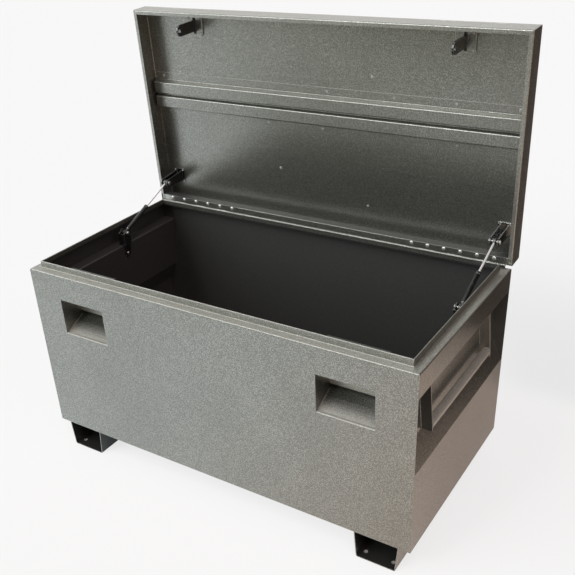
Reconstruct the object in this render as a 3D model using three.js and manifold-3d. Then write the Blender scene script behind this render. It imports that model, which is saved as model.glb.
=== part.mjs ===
// Jobsite storage box: a folded steel tub on two skids, with a hinged pan lid on gas struts.
// Millimetres, X to the right, Y to the back, Z up. The lid stands open.
import * as THREE from 'three';
import { mergeVertices } from 'three/addons/utils/BufferGeometryUtils.js';
import Module from 'manifold-3d';

const wasm = await Module();
wasm.setup();

// Overall sizes
const TUB_WIDTH = 1219.2;
const TUB_DEPTH = 609.6;
const TUB_HEIGHT = 535;
const SKID_HEIGHT = 84;
const LID_DEPTH = 61.4;
const OPEN_ANGLE_DEG = 87.4;

// Sheet metal and fits
const SHEET = 1.6;
const BEND = 2;
const BEND_STEP_DEG = 30;
const SEAM = 0.3;
const OVERRUN = 6;
const ROUND_SIDES = 16;
const HOLE_SIDES = 12;

// Rim of the tub: ledge, raised lip and its hem
const LEDGE = 24.4;
const LIP_HEIGHT = 19;
const HEM_LENGTH = 13;
const HEM_GAP = 0.7;
const BOTTOM_FLANGE = 20;

// Recess folded into each end: header band above, slope below
const BAND_HEIGHT = 69;
const ROOF_DROP = 53;
const RECESS_DEPTH = 48;
const SLOPE_DEPTH = 33;
const SLOPE_TOP = 313;
const SLOPE_FOOT = 250;

// End handle: two gussets and a folded grip between them
const GUSSET_SPACING = 398;
const GUSSET_SHEET = 2.5;
const GUSSET_TOP_INSET = 16.5;
const GRIP_INSET = 2;
const GRIP_BOTTOM = 320;
const GRIP_HEIGHT = 20;
const GRIP_DEPTH = 18;
const GRIP_SHEET = 2.5;
const GRIP_BEND = 4.5;
const GRIP_RETURN = 8;
const GRIP_DROP = 12;
const GUSSET_HEEL = 8;
const GUSSET_TOE = 13;

// Padlock wells behind the windows of the front panel
const LOCK_INSET = 185.6;
const WINDOW_WIDTH = 160;
const WINDOW_HEIGHT = 111;
const WINDOW_DROP = 78;
const WELL_DEPTH = 72;
const WELL_FLOOR_DEG = 25.5;
const WELL_STEP = 12;
const WELL_STEP_RISE = 6;
const WELL_MARGIN = 1;
const WELL_HEADROOM = 4;
const SLOT_CLEARANCE = 4.5;

// Lock tongues of the lid
const TONGUE_SETBACK = 47.6;
const TONGUE_WIDTH = 32;
const TONGUE_SHEET = 5;
const TONGUE_REACH = 31;
const TONGUE_HOLE = 11;
const TONGUE_HOLE_EDGE = 10.5;
const TONGUE_SHOULDER = 6;
const TONGUE_ROOT = 12;
const TONGUE_PLATE = 57;
const TONGUE_PLATE_SHEET = 4;
const TONGUE_PLATE_CORNER = 5;

// Skids
const SKID_INSET = 40.6;
const SKID_WIDTH = 114;
const SKID_FLARE = 7;
const SKID_SHEET = 2.5;
const SKID_BEND = 3;
const SKID_SETBACK = 2;
const CASTER_HOLE = 11;
const CASTER_PITCH = 80;
const CASTER_EDGE = 26;

// Lid hinges
const LID_GAP = 3;
const HINGE_RISE = 5;
const HINGE_BACK = 1;
const HINGE_LENGTH = 294;
const HINGE_INSET = 165.6;
const KNUCKLE_COUNT = 7;
const KNUCKLE_RADIUS = 4.2;
const KNUCKLE_GAP = 0.5;
const PIN_RADIUS = 2;
const PIN_PLAY = 0.3;
const LEAF_SHEET = 2;
const TUB_LEAF_HEIGHT = 28;
const LID_LEAF_WIDTH = 21;
const RIVET_COUNT = 6;
const RIVET_PITCH = 48.8;
const RIVET_INSET = 172.6;
const RIVET_SETBACK = 15;
const RIVET_SHANK_RADIUS = 2.4;
const RIVET_HEAD_RADIUS = 5.4;
const RIVET_HEAD_HEIGHT = 2.4;
const RIVET_TAIL_RADIUS = 3.8;
const RIVET_TAIL_HEIGHT = 1.5;

// Lid pan, its finger recesses, hinge rail and stiffener
const RIM_FLANGE = 12;
const RECESS_LENGTH = 210;
const RECESS_WIDTH = 9;
const RECESS_SINK = 1;
const RECESS_INSET = 169.6;
const RECESS_EDGE = 4.5;
const RECESS_STEPS = 8;
const RAIL_RISE = 3;
const RAIL_WIDTH = 22;
const RAIL_LIP = 27;
const RAIL_BACK = 16;
const NOTCH_DEPTH = 5;
const NOTCH_RISE = 9;
const STIFFENER_INSET = 10;
const STIFFENER_CENTRE = 348.5;
const STIFFENER_WIDTH = 133;
const RIB_SPAN = 85;
const RIB_HEIGHT = 20;
const RIB_SLANT = 4;
const GROOVE_WIDTH = 11;
const GROOVE_FLOOR = 4;
const GROOVE_DEPTH = 12;

// Gas struts and their brackets
const STRUT_INSET = 46.6;
const STRUT_FOOT_BACK = 249.8;
const STRUT_FOOT_DROP = 14;
const CLEVIS_FORWARD = 74.3;
const CLEVIS_REACH = 18.4;
const CYLINDER_RADIUS = 7.5;
const CYLINDER_END = 119;
const CYLINDER_START = 13;
const CYLINDER_SHOULDER = 2;
const BORE_START = 20;
const BORE_PLAY = 0.6;
const GLAND_RADIUS = 8.6;
const GLAND_LENGTH = 8;
const ROD_RADIUS = 4;
const ROD_PLAY = 0.3;
const ROD_TAIL = 98;
const EYE_RADIUS = 9;
const EYE_WIDTH = 8;
const BOLT_RADIUS = 4;
const BOLT_PLAY = 0.3;
const BOLT_HEAD_RADIUS = 6.8;
const BOLT_HEAD_HEIGHT = 4.5;
const NECK_RADIUS = 5;
const ARM_GAP = 19;
const ARM_SHEET = 3;
const ARM_END_RADIUS = 12;
const CLEVIS_PLATE_WIDTH = 38.5;
const CLEVIS_PLATE_HEIGHT = 46;
const CLEVIS_WEB_REACH = 34;
const CLEVIS_ARM_ROOT = 36;
const MOUNT_WEB_GAP = 6;
const MOUNT_TAB = 44;
const MOUNT_TAB_WIDTH = 26;
const TAB_BOLT_EDGE = 13;
const TAB_BOLT_RADIUS = 3;
const TAB_HEAD_RADIUS = 6;
const TAB_HEAD_HEIGHT = 3;

// Places worked out from the sizes above
const HALF_SHEET = SHEET / 2;
const FOLD_ZONE = SHEET + BEND;
const HEM_PITCH = SHEET + HEM_GAP;
const HALF_WIDTH = TUB_WIDTH / 2;
const HALF_DEPTH = TUB_DEPTH / 2;
const TUB_BASE = SKID_HEIGHT;
const LEDGE_LEVEL = TUB_BASE + TUB_HEIGHT;
const ROOF_LEVEL = TUB_HEIGHT - ROOF_DROP;
const OPEN_ANGLE = THREE.MathUtils.degToRad(OPEN_ANGLE_DEG);
const AXIS = { y: HALF_DEPTH + HINGE_BACK, z: LEDGE_LEVEL + HINGE_RISE };
const STRUT_X = HALF_WIDTH - STRUT_INSET;
const HINGE_CENTRE = HALF_WIDTH - HINGE_INSET;
const RIVET_CENTRE = HALF_WIDTH - RIVET_INSET;
const RIM_IN_LID = LID_GAP - HINGE_RISE;
const BACK_IN_LID = -HINGE_BACK;
const FOOT = { y: HALF_DEPTH - STRUT_FOOT_BACK, z: LEDGE_LEVEL - STRUT_FOOT_DROP };

// Finishes
const FINISHES = {
  paint: { color: 0x9c9d99, roughness: 0.55, metalness: 0.35 },
  inner: { color: 0x3a3b3b, roughness: 0.6, metalness: 0.2 },
  black: { color: 0x151515, roughness: 0.35, metalness: 0.2 },
  zinc: { color: 0xb9bcbe, roughness: 0.35, metalness: 0.9 },
  chrome: { color: 0xdfe1e3, roughness: 0.15, metalness: 1 },
};

// Geometry helpers

function toSolid(geometry) {
  const bare = geometry.clone();
  bare.deleteAttribute('normal');
  bare.deleteAttribute('uv');
  const merged = mergeVertices(bare);
  return new wasm.Manifold(new wasm.Mesh({
    numProp: 3,
    vertProperties: new Float32Array(merged.attributes.position.array),
    triVerts: new Uint32Array(merged.index.array),
  }));
}

function toGeometry(solid) {
  const mesh = solid.getMesh();
  const geometry = new THREE.BufferGeometry();
  geometry.setAttribute('position', new THREE.BufferAttribute(new Float32Array(mesh.vertProperties), 3));
  geometry.setIndex(new THREE.BufferAttribute(new Uint32Array(mesh.triVerts), 1));
  const flat = geometry.toNonIndexed();
  flat.computeVertexNormals();
  return flat;
}

function box(low, high) {
  const size = [0, 1, 2].map((i) => high[i] - low[i]);
  const middle = [0, 1, 2].map((i) => (high[i] + low[i]) / 2);
  return toSolid(new THREE.BoxGeometry(...size).translate(...middle));
}

// Prism of an outline in the plane of the first two axes, running along the third
function prism(outline, axes, from, to) {
  const toShape = (points) => new THREE.Shape(points.map(([a, b]) => new THREE.Vector2(a, b)));
  const shape = outline instanceof THREE.Shape ? outline : toShape(outline);
  const options = { depth: to - from, bevelEnabled: false, curveSegments: 4 };
  const geometry = new THREE.ExtrudeGeometry(shape, options).translate(0, 0, from);
  return toSolid(geometry.applyMatrix4(new THREE.Matrix4().makeBasis(...axes)));
}

const X = new THREE.Vector3(1, 0, 0);
const Y = new THREE.Vector3(0, 1, 0);
const Z = new THREE.Vector3(0, 0, 1);
const ALONG_X = [Y, Z, X];
const ALONG_Y = [Z, X, Y];
const ALONG_Z = [X, Y, Z];

// Round bar along X, Y or Z through a point
function bar(radius, from, to, [a, b], axes, sides = ROUND_SIDES) {
  const circle = [];
  for (let i = 0; i < sides; i += 1) {
    const angle = (2 * Math.PI * (i + 0.5)) / sides;
    circle.push([a + radius * Math.cos(angle), b + radius * Math.sin(angle)]);
  }
  return prism(circle, axes, from, to);
}

// Solid of revolution about Z from a closed profile of [radius, height] points
function turned(profile, sides = ROUND_SIDES) {
  const points = [...profile, profile[0]].map(([r, h]) => new THREE.Vector2(r, h));
  return new THREE.LatheGeometry(points, sides);
}

// Arc that rounds a corner of a folded sheet, as points with the heading at each
function cornerArc(corner, inward, outward, radius, room) {
  const first = inward.clone().normalize();
  const turn = Math.atan2(first.cross(outward), first.dot(outward));
  const arc = Math.min(radius, room / Math.tan(Math.abs(turn) / 2));
  const start = corner.clone().addScaledVector(first, -arc * Math.tan(Math.abs(turn) / 2));
  const side = new THREE.Vector2(-first.y, first.x).multiplyScalar(Math.sign(turn));
  const steps = Math.max(1, Math.ceil(Math.abs(turn) / THREE.MathUtils.degToRad(BEND_STEP_DEG)));
  return Array.from({ length: steps + 1 }, (_, k) => {
    const swept = (Math.abs(turn) * k) / steps;
    const at = start.clone().addScaledVector(first, arc * Math.sin(swept));
    at.addScaledVector(side, arc * (1 - Math.cos(swept)));
    return { at, heading: first.clone().rotateAround(new THREE.Vector2(), Math.sign(turn) * swept) };
  });
}

// Middle line of a folded sheet: straight stretches joined by arcs
function foldedLine(points, radius) {
  const corners = points.map(([x, y]) => new THREE.Vector2(x, y));
  const legs = corners.slice(1).map((corner, i) => corner.clone().sub(corners[i]));
  const room = (i, free) => (free ? legs[i].length() : legs[i].length() / 2);
  const last = legs.length - 1;
  const line = [{ at: corners[0], heading: legs[0].clone().normalize() }];
  for (let i = 0; i < last; i += 1) {
    const space = Math.min(room(i, i === 0), room(i + 1, i + 1 === last));
    line.push(...cornerArc(corners[i + 1], legs[i], legs[i + 1], radius, space));
  }
  line.push({ at: corners[last + 1], heading: legs[last].clone().normalize() });
  return line;
}

// Outline of a sheet of one thickness folded along its middle line
function foldedSheet(points, thickness = SHEET, bend = BEND) {
  const line = foldedLine(points, bend + thickness / 2);
  const side = (sign) => line.map(({ at, heading }) => [
    at.x - (sign * heading.y * thickness) / 2,
    at.y + (sign * heading.x * thickness) / 2,
  ]);
  return [...side(1), ...side(-1).reverse()];
}

function mirrored(geometry) {
  const copy = geometry.clone().scale(-1, 1, 1);
  const position = copy.attributes.position;
  for (let i = 0; i < position.count; i += 3) {
    const second = [position.getX(i + 1), position.getY(i + 1), position.getZ(i + 1)];
    position.setXYZ(i + 1, position.getX(i + 2), position.getY(i + 2), position.getZ(i + 2));
    position.setXYZ(i + 2, ...second);
  }
  copy.computeVertexNormals();
  return copy;
}

function piece(parent, name, geometry, finish) {
  const mesh = new THREE.Mesh(geometry, new THREE.MeshStandardMaterial(FINISHES[finish]));
  mesh.name = name;
  parent.add(mesh);
}

// A right-hand piece and its mirror image on the left
function pair(parent, name, solid, finish) {
  const geometry = toGeometry(solid);
  piece(parent, `right_${name}`, geometry, finish);
  piece(parent, `left_${name}`, mirrored(geometry), finish);
}

// Walls of the tub: profiles in [inward distance, height above the tub's bottom]

function rimPoints() {
  const lip = LEDGE + HALF_SHEET;
  const top = TUB_HEIGHT + LIP_HEIGHT - HALF_SHEET;
  return [
    [HALF_SHEET, TUB_HEIGHT - HALF_SHEET],
    [lip, TUB_HEIGHT - HALF_SHEET],
    [lip, top],
    [lip + HEM_PITCH, top],
    [lip + HEM_PITCH, top - HEM_LENGTH],
  ];
}

function longWallPoints() {
  return [[BOTTOM_FLANGE, HALF_SHEET], [HALF_SHEET, HALF_SHEET], ...rimPoints()];
}

function endWallPoints() {
  const hem = HALF_SHEET + HEM_PITCH;
  const bandFoot = TUB_HEIGHT - BAND_HEIGHT + HALF_SHEET;
  return [
    [BOTTOM_FLANGE, HALF_SHEET],
    [HALF_SHEET, HALF_SHEET],
    [HALF_SHEET, SLOPE_FOOT],
    [SLOPE_DEPTH, SLOPE_TOP],
    [RECESS_DEPTH, ROOF_LEVEL],
    [hem, ROOF_LEVEL],
    [hem, bandFoot],
    [HALF_SHEET, bandFoot],
    ...rimPoints(),
  ];
}

// Wedges that mitre the rim and the bottom flanges at the corners of the tub, in
// [inward, along] with the wall's outer face at inward 0
function cornerWedge(halfLength) {
  const reach = LEDGE + HEM_PITCH + SHEET + OVERRUN;
  const edge = halfLength - SEAM / 2;
  return [
    [-OVERRUN, edge + OVERRUN],
    [reach, edge - reach],
    [reach, edge + reach],
    [-OVERRUN, edge + reach],
  ];
}

function mitreBands() {
  return [
    [-OVERRUN, FOLD_ZONE],
    [TUB_HEIGHT - FOLD_ZONE, TUB_HEIGHT + LIP_HEIGHT + OVERRUN],
  ];
}

// A wall in its own frame: inward along X, length along Y, height along Z
function wall(points, halfLength) {
  const outline = foldedSheet(points).map(([inward, height]) => [height, inward]);
  let solid = prism(outline, ALONG_Y, -halfLength, halfLength);
  const wedge = cornerWedge(halfLength);
  for (const [low, high] of mitreBands()) {
    for (const end of [1, -1]) {
      const cutter = wedge.map(([inward, along]) => [inward, end * along]);
      solid = solid.subtract(prism(cutter, ALONG_Z, low, high));
    }
  }
  return solid;
}

// Turns a wall's own frame to its side of the tub
function setWall(solid, turnDeg, halfSpan) {
  const geometry = toGeometry(solid).translate(-halfSpan, 0, TUB_BASE);
  return geometry.rotateZ(THREE.MathUtils.degToRad(turnDeg));
}

function frontWall() {
  let solid = wall(longWallPoints(), HALF_WIDTH);
  const top = TUB_HEIGHT - WINDOW_DROP;
  for (const side of [1, -1]) {
    const middle = side * (HALF_WIDTH - LOCK_INSET);
    const low = [-OVERRUN, middle - WINDOW_WIDTH / 2, top - WINDOW_HEIGHT];
    const high = [SHEET + OVERRUN, middle + WINDOW_WIDTH / 2, top];
    solid = solid.subtract(box(low, high));
  }
  return solid;
}

function endWall() {
  let solid = wall(endWallPoints(), HALF_DEPTH);
  const reach = RECESS_DEPTH + SHEET + OVERRUN;
  const edge = HALF_DEPTH - SHEET - SEAM;
  for (const end of [1, -1]) {
    const near = [-OVERRUN, Math.min(end * edge, end * (edge + OVERRUN)), FOLD_ZONE];
    const far = [reach, Math.max(end * edge, end * (edge + OVERRUN)), TUB_HEIGHT - FOLD_ZONE];
    solid = solid.subtract(box(near, far));
  }
  return solid;
}

function floorPanel() {
  const x = HALF_WIDTH - SHEET - SEAM;
  const y = HALF_DEPTH - SHEET - SEAM;
  const z = TUB_BASE + SHEET + SEAM;
  return box([-x + BEND, -y + BEND, z], [x - BEND, y - BEND, z + SHEET]);
}

// Padlock well on the right, in [distance behind the front face, height above the tub's bottom]
function lockWell() {
  const sill = TUB_HEIGHT - WINDOW_DROP - WINDOW_HEIGHT;
  const rise = Math.tan(THREE.MathUtils.degToRad(WELL_FLOOR_DEG));
  const mouth = SHEET + SEAM + HALF_SHEET;
  const step = WELL_DEPTH + WELL_STEP;
  const stepFloor = sill - HALF_SHEET + (step - mouth) * rise;
  const stepTop = stepFloor + WELL_STEP_RISE;
  const roof = TUB_HEIGHT - SHEET - WELL_HEADROOM - HALF_SHEET;
  const sheet = foldedSheet([
    [mouth, sill - HALF_SHEET],
    [step, stepFloor],
    [step, stepTop],
    [WELL_DEPTH, stepTop],
    [WELL_DEPTH, roof],
    [mouth, roof],
  ]);
  const middle = HALF_WIDTH - LOCK_INSET;
  const cheekIn = WINDOW_WIDTH / 2 + WELL_MARGIN;
  const cheekOut = cheekIn + SHEET;
  const front = SHEET + SEAM;
  const cheek = [
    [front, sill - SHEET],
    [step + HALF_SHEET, stepFloor - SHEET],
    [step + HALF_SHEET, stepTop + HALF_SHEET],
    [WELL_DEPTH + HALF_SHEET, stepTop + HALF_SHEET],
    [WELL_DEPTH + HALF_SHEET, roof + HALF_SHEET],
    [front, roof + HALF_SHEET],
  ];
  const place = ([inward, height]) => [inward - HALF_DEPTH, height + TUB_BASE];
  const span = cheekIn + HALF_SHEET;
  let solid = prism(sheet.map(place), ALONG_X, middle - span, middle + span);
  for (const from of [middle - cheekOut, middle + cheekIn]) {
    solid = solid.add(prism(cheek.map(place), ALONG_X, from, from + SHEET));
  }
  const slotY = TONGUE_WIDTH / 2 + SLOT_CLEARANCE;
  const slotX = TONGUE_SHEET / 2 + SLOT_CLEARANCE;
  const y = TONGUE_SETBACK - HALF_DEPTH;
  const z = TUB_BASE + roof;
  const low = [middle - slotX, y - slotY, z - OVERRUN];
  const high = [middle + slotX, y + slotY, z + OVERRUN];
  return solid.subtract(box(low, high));
}

// End handles on the right, in [distance inside the end face, height above the tub's bottom]

function recessDepthAt(height) {
  const slope = (height - SLOPE_FOOT) / (SLOPE_TOP - SLOPE_FOOT);
  const wallShare = (height - SLOPE_TOP) / (ROOF_LEVEL - SLOPE_TOP);
  const onSlope = HALF_SHEET + slope * (SLOPE_DEPTH - HALF_SHEET);
  const onWall = SLOPE_DEPTH + wallShare * (RECESS_DEPTH - SLOPE_DEPTH);
  return height < SLOPE_TOP ? onSlope : onWall;
}

function gusset() {
  const seat = HALF_SHEET + SEAM + SEAM;
  const top = ROOF_LEVEL - HALF_SHEET - SEAM;
  const heel = GRIP_BOTTOM - GUSSET_HEEL;
  const toe = SLOPE_FOOT + (SLOPE_TOP - SLOPE_FOOT) * (GUSSET_TOE / SLOPE_DEPTH);
  const outline = [
    [GUSSET_TOP_INSET, top],
    [GRIP_INSET, heel],
    [GUSSET_TOE - seat, toe + seat],
    [SLOPE_DEPTH - seat, SLOPE_TOP + seat],
    [recessDepthAt(top - BEND) - seat, top - BEND],
    [recessDepthAt(top) - seat - BEND, top],
  ];
  const place = ([inward, height]) => [height + TUB_BASE, HALF_WIDTH - inward];
  const from = GUSSET_SPACING / 2 - GUSSET_SHEET / 2;
  return prism(outline.map(place), ALONG_Y, from, from + GUSSET_SHEET);
}

function grip() {
  const half = GRIP_SHEET / 2;
  const front = GRIP_INSET + half;
  const back = GRIP_INSET + GRIP_DEPTH - half;
  const low = GRIP_BOTTOM + half;
  const high = GRIP_BOTTOM + GRIP_HEIGHT - half;
  const points = [
    [front + GRIP_RETURN, low],
    [front, low],
    [front, high],
    [back, high],
    [back, high - GRIP_DROP],
  ];
  const place = ([inward, height]) => [height + TUB_BASE, HALF_WIDTH - inward];
  const reach = GUSSET_SPACING / 2 - GUSSET_SHEET / 2 - SEAM;
  return prism(foldedSheet(points, GRIP_SHEET, GRIP_BEND - half).map(place), ALONG_Y, -reach, reach);
}

// Skid on the right: an open channel with flared walls and caster holes at both ends
function skid() {
  const half = SKID_SHEET / 2;
  const middle = HALF_WIDTH - SKID_INSET - SKID_WIDTH / 2;
  const foot = SKID_WIDTH / 2 - half;
  const top = SKID_HEIGHT - SEAM - SEAM;
  const points = [[-foot - SKID_FLARE, top], [-foot, half], [foot, half], [foot + SKID_FLARE, top]];
  const outline = foldedSheet(points, SKID_SHEET, SKID_BEND).map(([x, z]) => [z, x + middle]);
  const reach = HALF_DEPTH - SKID_SETBACK;
  let solid = prism(outline, ALONG_Y, -reach, reach);
  for (const end of [1, -1]) {
    for (const setback of [CASTER_EDGE, CASTER_EDGE + CASTER_PITCH]) {
      for (const side of [1, -1]) {
        const centre = [middle + (side * CASTER_PITCH) / 2, end * (reach - setback)];
        const hole = bar(CASTER_HOLE / 2, -OVERRUN, SKID_SHEET + OVERRUN, centre, ALONG_Z, HOLE_SIDES);
        solid = solid.subtract(hole);
      }
    }
  }
  return solid;
}

// Hinges: leaves with alternate knuckles about the pin, in the lid's frame or the tub's

function knuckleSpans(first) {
  const start = HINGE_CENTRE - HINGE_LENGTH / 2;
  const pitch = HINGE_LENGTH / KNUCKLE_COUNT;
  const spans = [];
  for (let i = first; i < KNUCKLE_COUNT; i += 2) {
    spans.push([start + i * pitch + KNUCKLE_GAP / 2, start + (i + 1) * pitch - KNUCKLE_GAP / 2]);
  }
  return spans;
}

function hingeLeaf(plate, own, other, centre) {
  let solid = plate;
  for (const [from, to] of other) {
    const clear = bar(KNUCKLE_RADIUS + KNUCKLE_GAP, from - KNUCKLE_GAP, to + KNUCKLE_GAP, centre, ALONG_X);
    solid = solid.subtract(clear);
  }
  for (const [from, to] of own) {
    solid = solid.add(bar(KNUCKLE_RADIUS, from, to, centre, ALONG_X));
  }
  const start = HINGE_CENTRE - HINGE_LENGTH / 2 - OVERRUN;
  const bore = bar(PIN_RADIUS + PIN_PLAY, start, start + HINGE_LENGTH + OVERRUN + OVERRUN, centre, ALONG_X);
  return solid.subtract(bore);
}

function tubLeaf() {
  const start = HINGE_CENTRE - HINGE_LENGTH / 2 + KNUCKLE_GAP / 2;
  const y = HALF_DEPTH + SEAM;
  const low = [start, y, LEDGE_LEVEL - TUB_LEAF_HEIGHT];
  const high = [start + HINGE_LENGTH - KNUCKLE_GAP, y + LEAF_SHEET, AXIS.z];
  return hingeLeaf(box(low, high), knuckleSpans(0), knuckleSpans(1), [AXIS.y, AXIS.z]);
}

function hingePin() {
  const start = HINGE_CENTRE - HINGE_LENGTH / 2;
  return bar(PIN_RADIUS, start, start + HINGE_LENGTH, [AXIS.y, AXIS.z], ALONG_X, HOLE_SIDES);
}

// Lid pieces stand in the closed lid's frame, with the hinge axis at the origin.
// Forward distances run from the lid's rear face, heights from its rim.

const lidY = (forward) => BACK_IN_LID - forward;
const lidZ = (height) => RIM_IN_LID + height;

function rivetPlaces() {
  const first = RIVET_CENTRE - ((RIVET_COUNT - 1) * RIVET_PITCH) / 2;
  return Array.from({ length: RIVET_COUNT }, (_, i) => first + i * RIVET_PITCH);
}

function drillRivets(solid) {
  return rivetPlaces().reduce((drilled, x) => drilled.subtract(
    bar(RIVET_SHANK_RADIUS + PIN_PLAY, lidZ(-OVERRUN), lidZ(RAIL_RISE + OVERRUN),
      [x, lidY(RIVET_SETBACK)], ALONG_Z, HOLE_SIDES),
  ), solid);
}

function lidLeaf() {
  const start = HINGE_CENTRE - HINGE_LENGTH / 2 + KNUCKLE_GAP / 2;
  const top = lidZ(RAIL_RISE - SEAM);
  const low = [start, lidY(LID_LEAF_WIDTH), top - LEAF_SHEET];
  const high = [start + HINGE_LENGTH - KNUCKLE_GAP, 0, top];
  return drillRivets(hingeLeaf(box(low, high), knuckleSpans(1), knuckleSpans(0), [0, 0]));
}

function rivet() {
  const under = -LEAF_SHEET - SEAM - SEAM;
  const over = SHEET + SEAM;
  const crown = RIVET_HEAD_RADIUS * Math.SQRT1_2;
  return turned([
    [0, under - RIVET_HEAD_HEIGHT],
    [crown, under - RIVET_HEAD_HEIGHT * Math.SQRT1_2],
    [RIVET_HEAD_RADIUS, under],
    [RIVET_SHANK_RADIUS, under],
    [RIVET_SHANK_RADIUS, over],
    [RIVET_TAIL_RADIUS, over],
    [RIVET_TAIL_RADIUS, over + RIVET_TAIL_HEIGHT],
    [0, over + RIVET_TAIL_HEIGHT],
  ], HOLE_SIDES);
}

// Rounded block of the closed lid, drawn in by a wall's thickness on every face
function lidBlock(inset) {
  const radius = FOLD_ZONE - inset;
  const outline = (half) => {
    const shape = new THREE.Shape();
    const low = inset;
    const high = LID_DEPTH - inset;
    const side = half - inset;
    shape.absarc(side - radius, low + radius, radius, -Math.PI / 2, 0);
    shape.absarc(side - radius, high - radius, radius, 0, Math.PI / 2);
    shape.absarc(radius - side, high - radius, radius, Math.PI / 2, Math.PI);
    shape.absarc(radius - side, low + radius, radius, Math.PI, Math.PI * 1.5);
    shape.closePath();
    return shape;
  };
  const across = prism(outline(HALF_DEPTH), ALONG_X, inset - HALF_WIDTH, HALF_WIDTH - inset);
  const along = toSolid(new THREE.ExtrudeGeometry(outline(HALF_WIDTH), {
    depth: TUB_DEPTH - inset - inset, bevelEnabled: false, curveSegments: 4,
  }).translate(0, 0, inset - HALF_DEPTH).rotateX(Math.PI / 2));
  return across.intersect(along);
}

// The whole pan of the lid in one
function lidPan() {
  let solid = lidBlock(0).subtract(lidBlock(SHEET));
  const open = [HALF_WIDTH - RIM_FLANGE, HALF_DEPTH - RIM_FLANGE];
  const mouthBack = HALF_DEPTH - SHEET;
  solid = solid.subtract(box([-open[0], -open[1], -OVERRUN], [open[0], mouthBack, FOLD_ZONE]));
  const skirt = HALF_WIDTH - SHEET;
  const low = [-skirt, HALF_DEPTH - RAIL_WIDTH, -OVERRUN];
  const high = [skirt, HALF_DEPTH + OVERRUN, RAIL_RISE];
  solid = solid.subtract(box(low, high));
  const geometry = toGeometry(solid).translate(0, lidY(HALF_DEPTH), lidZ(0));
  return notchHinges(toSolid(geometry));
}

// Where an end of the lid takes over on the right: its wall with the bends, and its rim flange
// with a mitre at the front
function lidEndRegion(gap) {
  const seam = HALF_WIDTH - FOLD_ZONE - gap;
  const flange = HALF_WIDTH - RIM_FLANGE - OVERRUN - gap;
  const [front, rear] = [lidY(TUB_DEPTH + OVERRUN), lidY(-OVERRUN)];
  const rim = [
    [seam, lidY(TUB_DEPTH - FOLD_ZONE)],
    [flange, lidY(TUB_DEPTH - RIM_FLANGE - OVERRUN)],
    [flange, rear],
    [HALF_WIDTH, rear],
    [HALF_WIDTH, lidY(TUB_DEPTH - FOLD_ZONE)],
  ];
  const end = box([seam, front, lidZ(-OVERRUN)], [HALF_WIDTH + OVERRUN, rear, lidZ(LID_DEPTH + OVERRUN)]);
  return end.add(prism(rim, ALONG_Z, lidZ(-OVERRUN), lidZ(FOLD_ZONE)));
}

function lidEnd() {
  return lidPan().intersect(lidEndRegion(0));
}

// Long shallow finger recess on the right, in the front wall's outer face by the upper edge
function fingerRecess() {
  const middle = HALF_WIDTH - RECESS_INSET;
  const height = LID_DEPTH - RECESS_EDGE - RECESS_WIDTH / 2;
  const arc = (side) => Array.from({ length: RECESS_STEPS }, (_, i) => {
    const share = (side * (2 * i - RECESS_STEPS)) / RECESS_STEPS;
    const rise = (side * RECESS_WIDTH * (1 - share * share)) / 2;
    return [lidZ(height + rise), middle + (share * RECESS_LENGTH) / 2];
  });
  return prism([...arc(1), ...arc(-1)], ALONG_Y, lidY(TUB_DEPTH + OVERRUN), lidY(TUB_DEPTH - RECESS_SINK));
}

function lidTop() {
  const flip = (solid) => toSolid(mirrored(toGeometry(solid)));
  const end = lidEndRegion(SEAM);
  const recess = fingerRecess();
  const top = lidPan().subtract(end).subtract(flip(end));
  return top.subtract(recess).subtract(flip(recess));
}

// Room for the hinge barrels in the rear wall of the pan and in the rail
function notchHinges(solid) {
  const half = HINGE_LENGTH / 2 + KNUCKLE_GAP;
  return [1, -1].reduce((cut, side) => cut.subtract(box(
    [side * HINGE_CENTRE - half, lidY(NOTCH_DEPTH), lidZ(-OVERRUN)],
    [side * HINGE_CENTRE + half, lidY(-OVERRUN), lidZ(NOTCH_RISE)],
  )), solid);
}

function hingeRail() {
  const back = SHEET + SEAM + HALF_SHEET;
  const front = RAIL_WIDTH - HALF_SHEET;
  const low = RAIL_RISE + HALF_SHEET;
  const points = [[back, RAIL_BACK], [back, low], [front, low], [front, RAIL_LIP]];
  const outline = foldedSheet(points).map(([forward, height]) => [lidY(forward), lidZ(height)]);
  const reach = HALF_WIDTH - SHEET - SEAM;
  const rail = notchHinges(prism(outline, ALONG_X, -reach, reach));
  const drilled = drillRivets(rail);
  return drillRivets(toSolid(mirrored(toGeometry(drilled))));
}

function stiffener() {
  const seat = LID_DEPTH - SHEET - SEAM - HALF_SHEET;
  const face = seat - RIB_HEIGHT;
  const outer = STIFFENER_WIDTH / 2;
  const root = RIB_SPAN / 2;
  const lip = GROOVE_WIDTH / 2;
  const bottom = GROOVE_FLOOR / 2;
  const rib = [[outer, seat], [root, seat], [root - RIB_SLANT, face]];
  const half = [...rib, [lip, face], [bottom, face + GROOVE_DEPTH]];
  const points = [...half, ...half.map(([a, b]) => [-a, b]).reverse()];
  const outline = foldedSheet(points).map(([a, b]) => [lidY(STIFFENER_CENTRE + a), lidZ(b)]);
  const reach = HALF_WIDTH - STIFFENER_INSET;
  return prism(outline, ALONG_X, -reach, reach);
}

// Lock tongue and its plate on the right

function tonguePlate() {
  const x = HALF_WIDTH - LOCK_INSET;
  const y = lidY(TUB_DEPTH - TONGUE_SETBACK);
  const half = TONGUE_PLATE / 2;
  const corner = TONGUE_PLATE_CORNER;
  const outline = [];
  for (const [sx, sy] of [[1, 1], [-1, 1], [-1, -1], [1, -1]]) {
    const ends = [[sx * half, sy * (half - corner)], [sx * (half - corner), sy * half]];
    outline.push(...(sx * sy > 0 ? ends : ends.reverse()));
  }
  const top = lidZ(LID_DEPTH - SHEET - SEAM);
  return prism(outline.map(([a, b]) => [x + a, y + b]), ALONG_Z, top - TONGUE_PLATE_SHEET, top);
}

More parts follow.
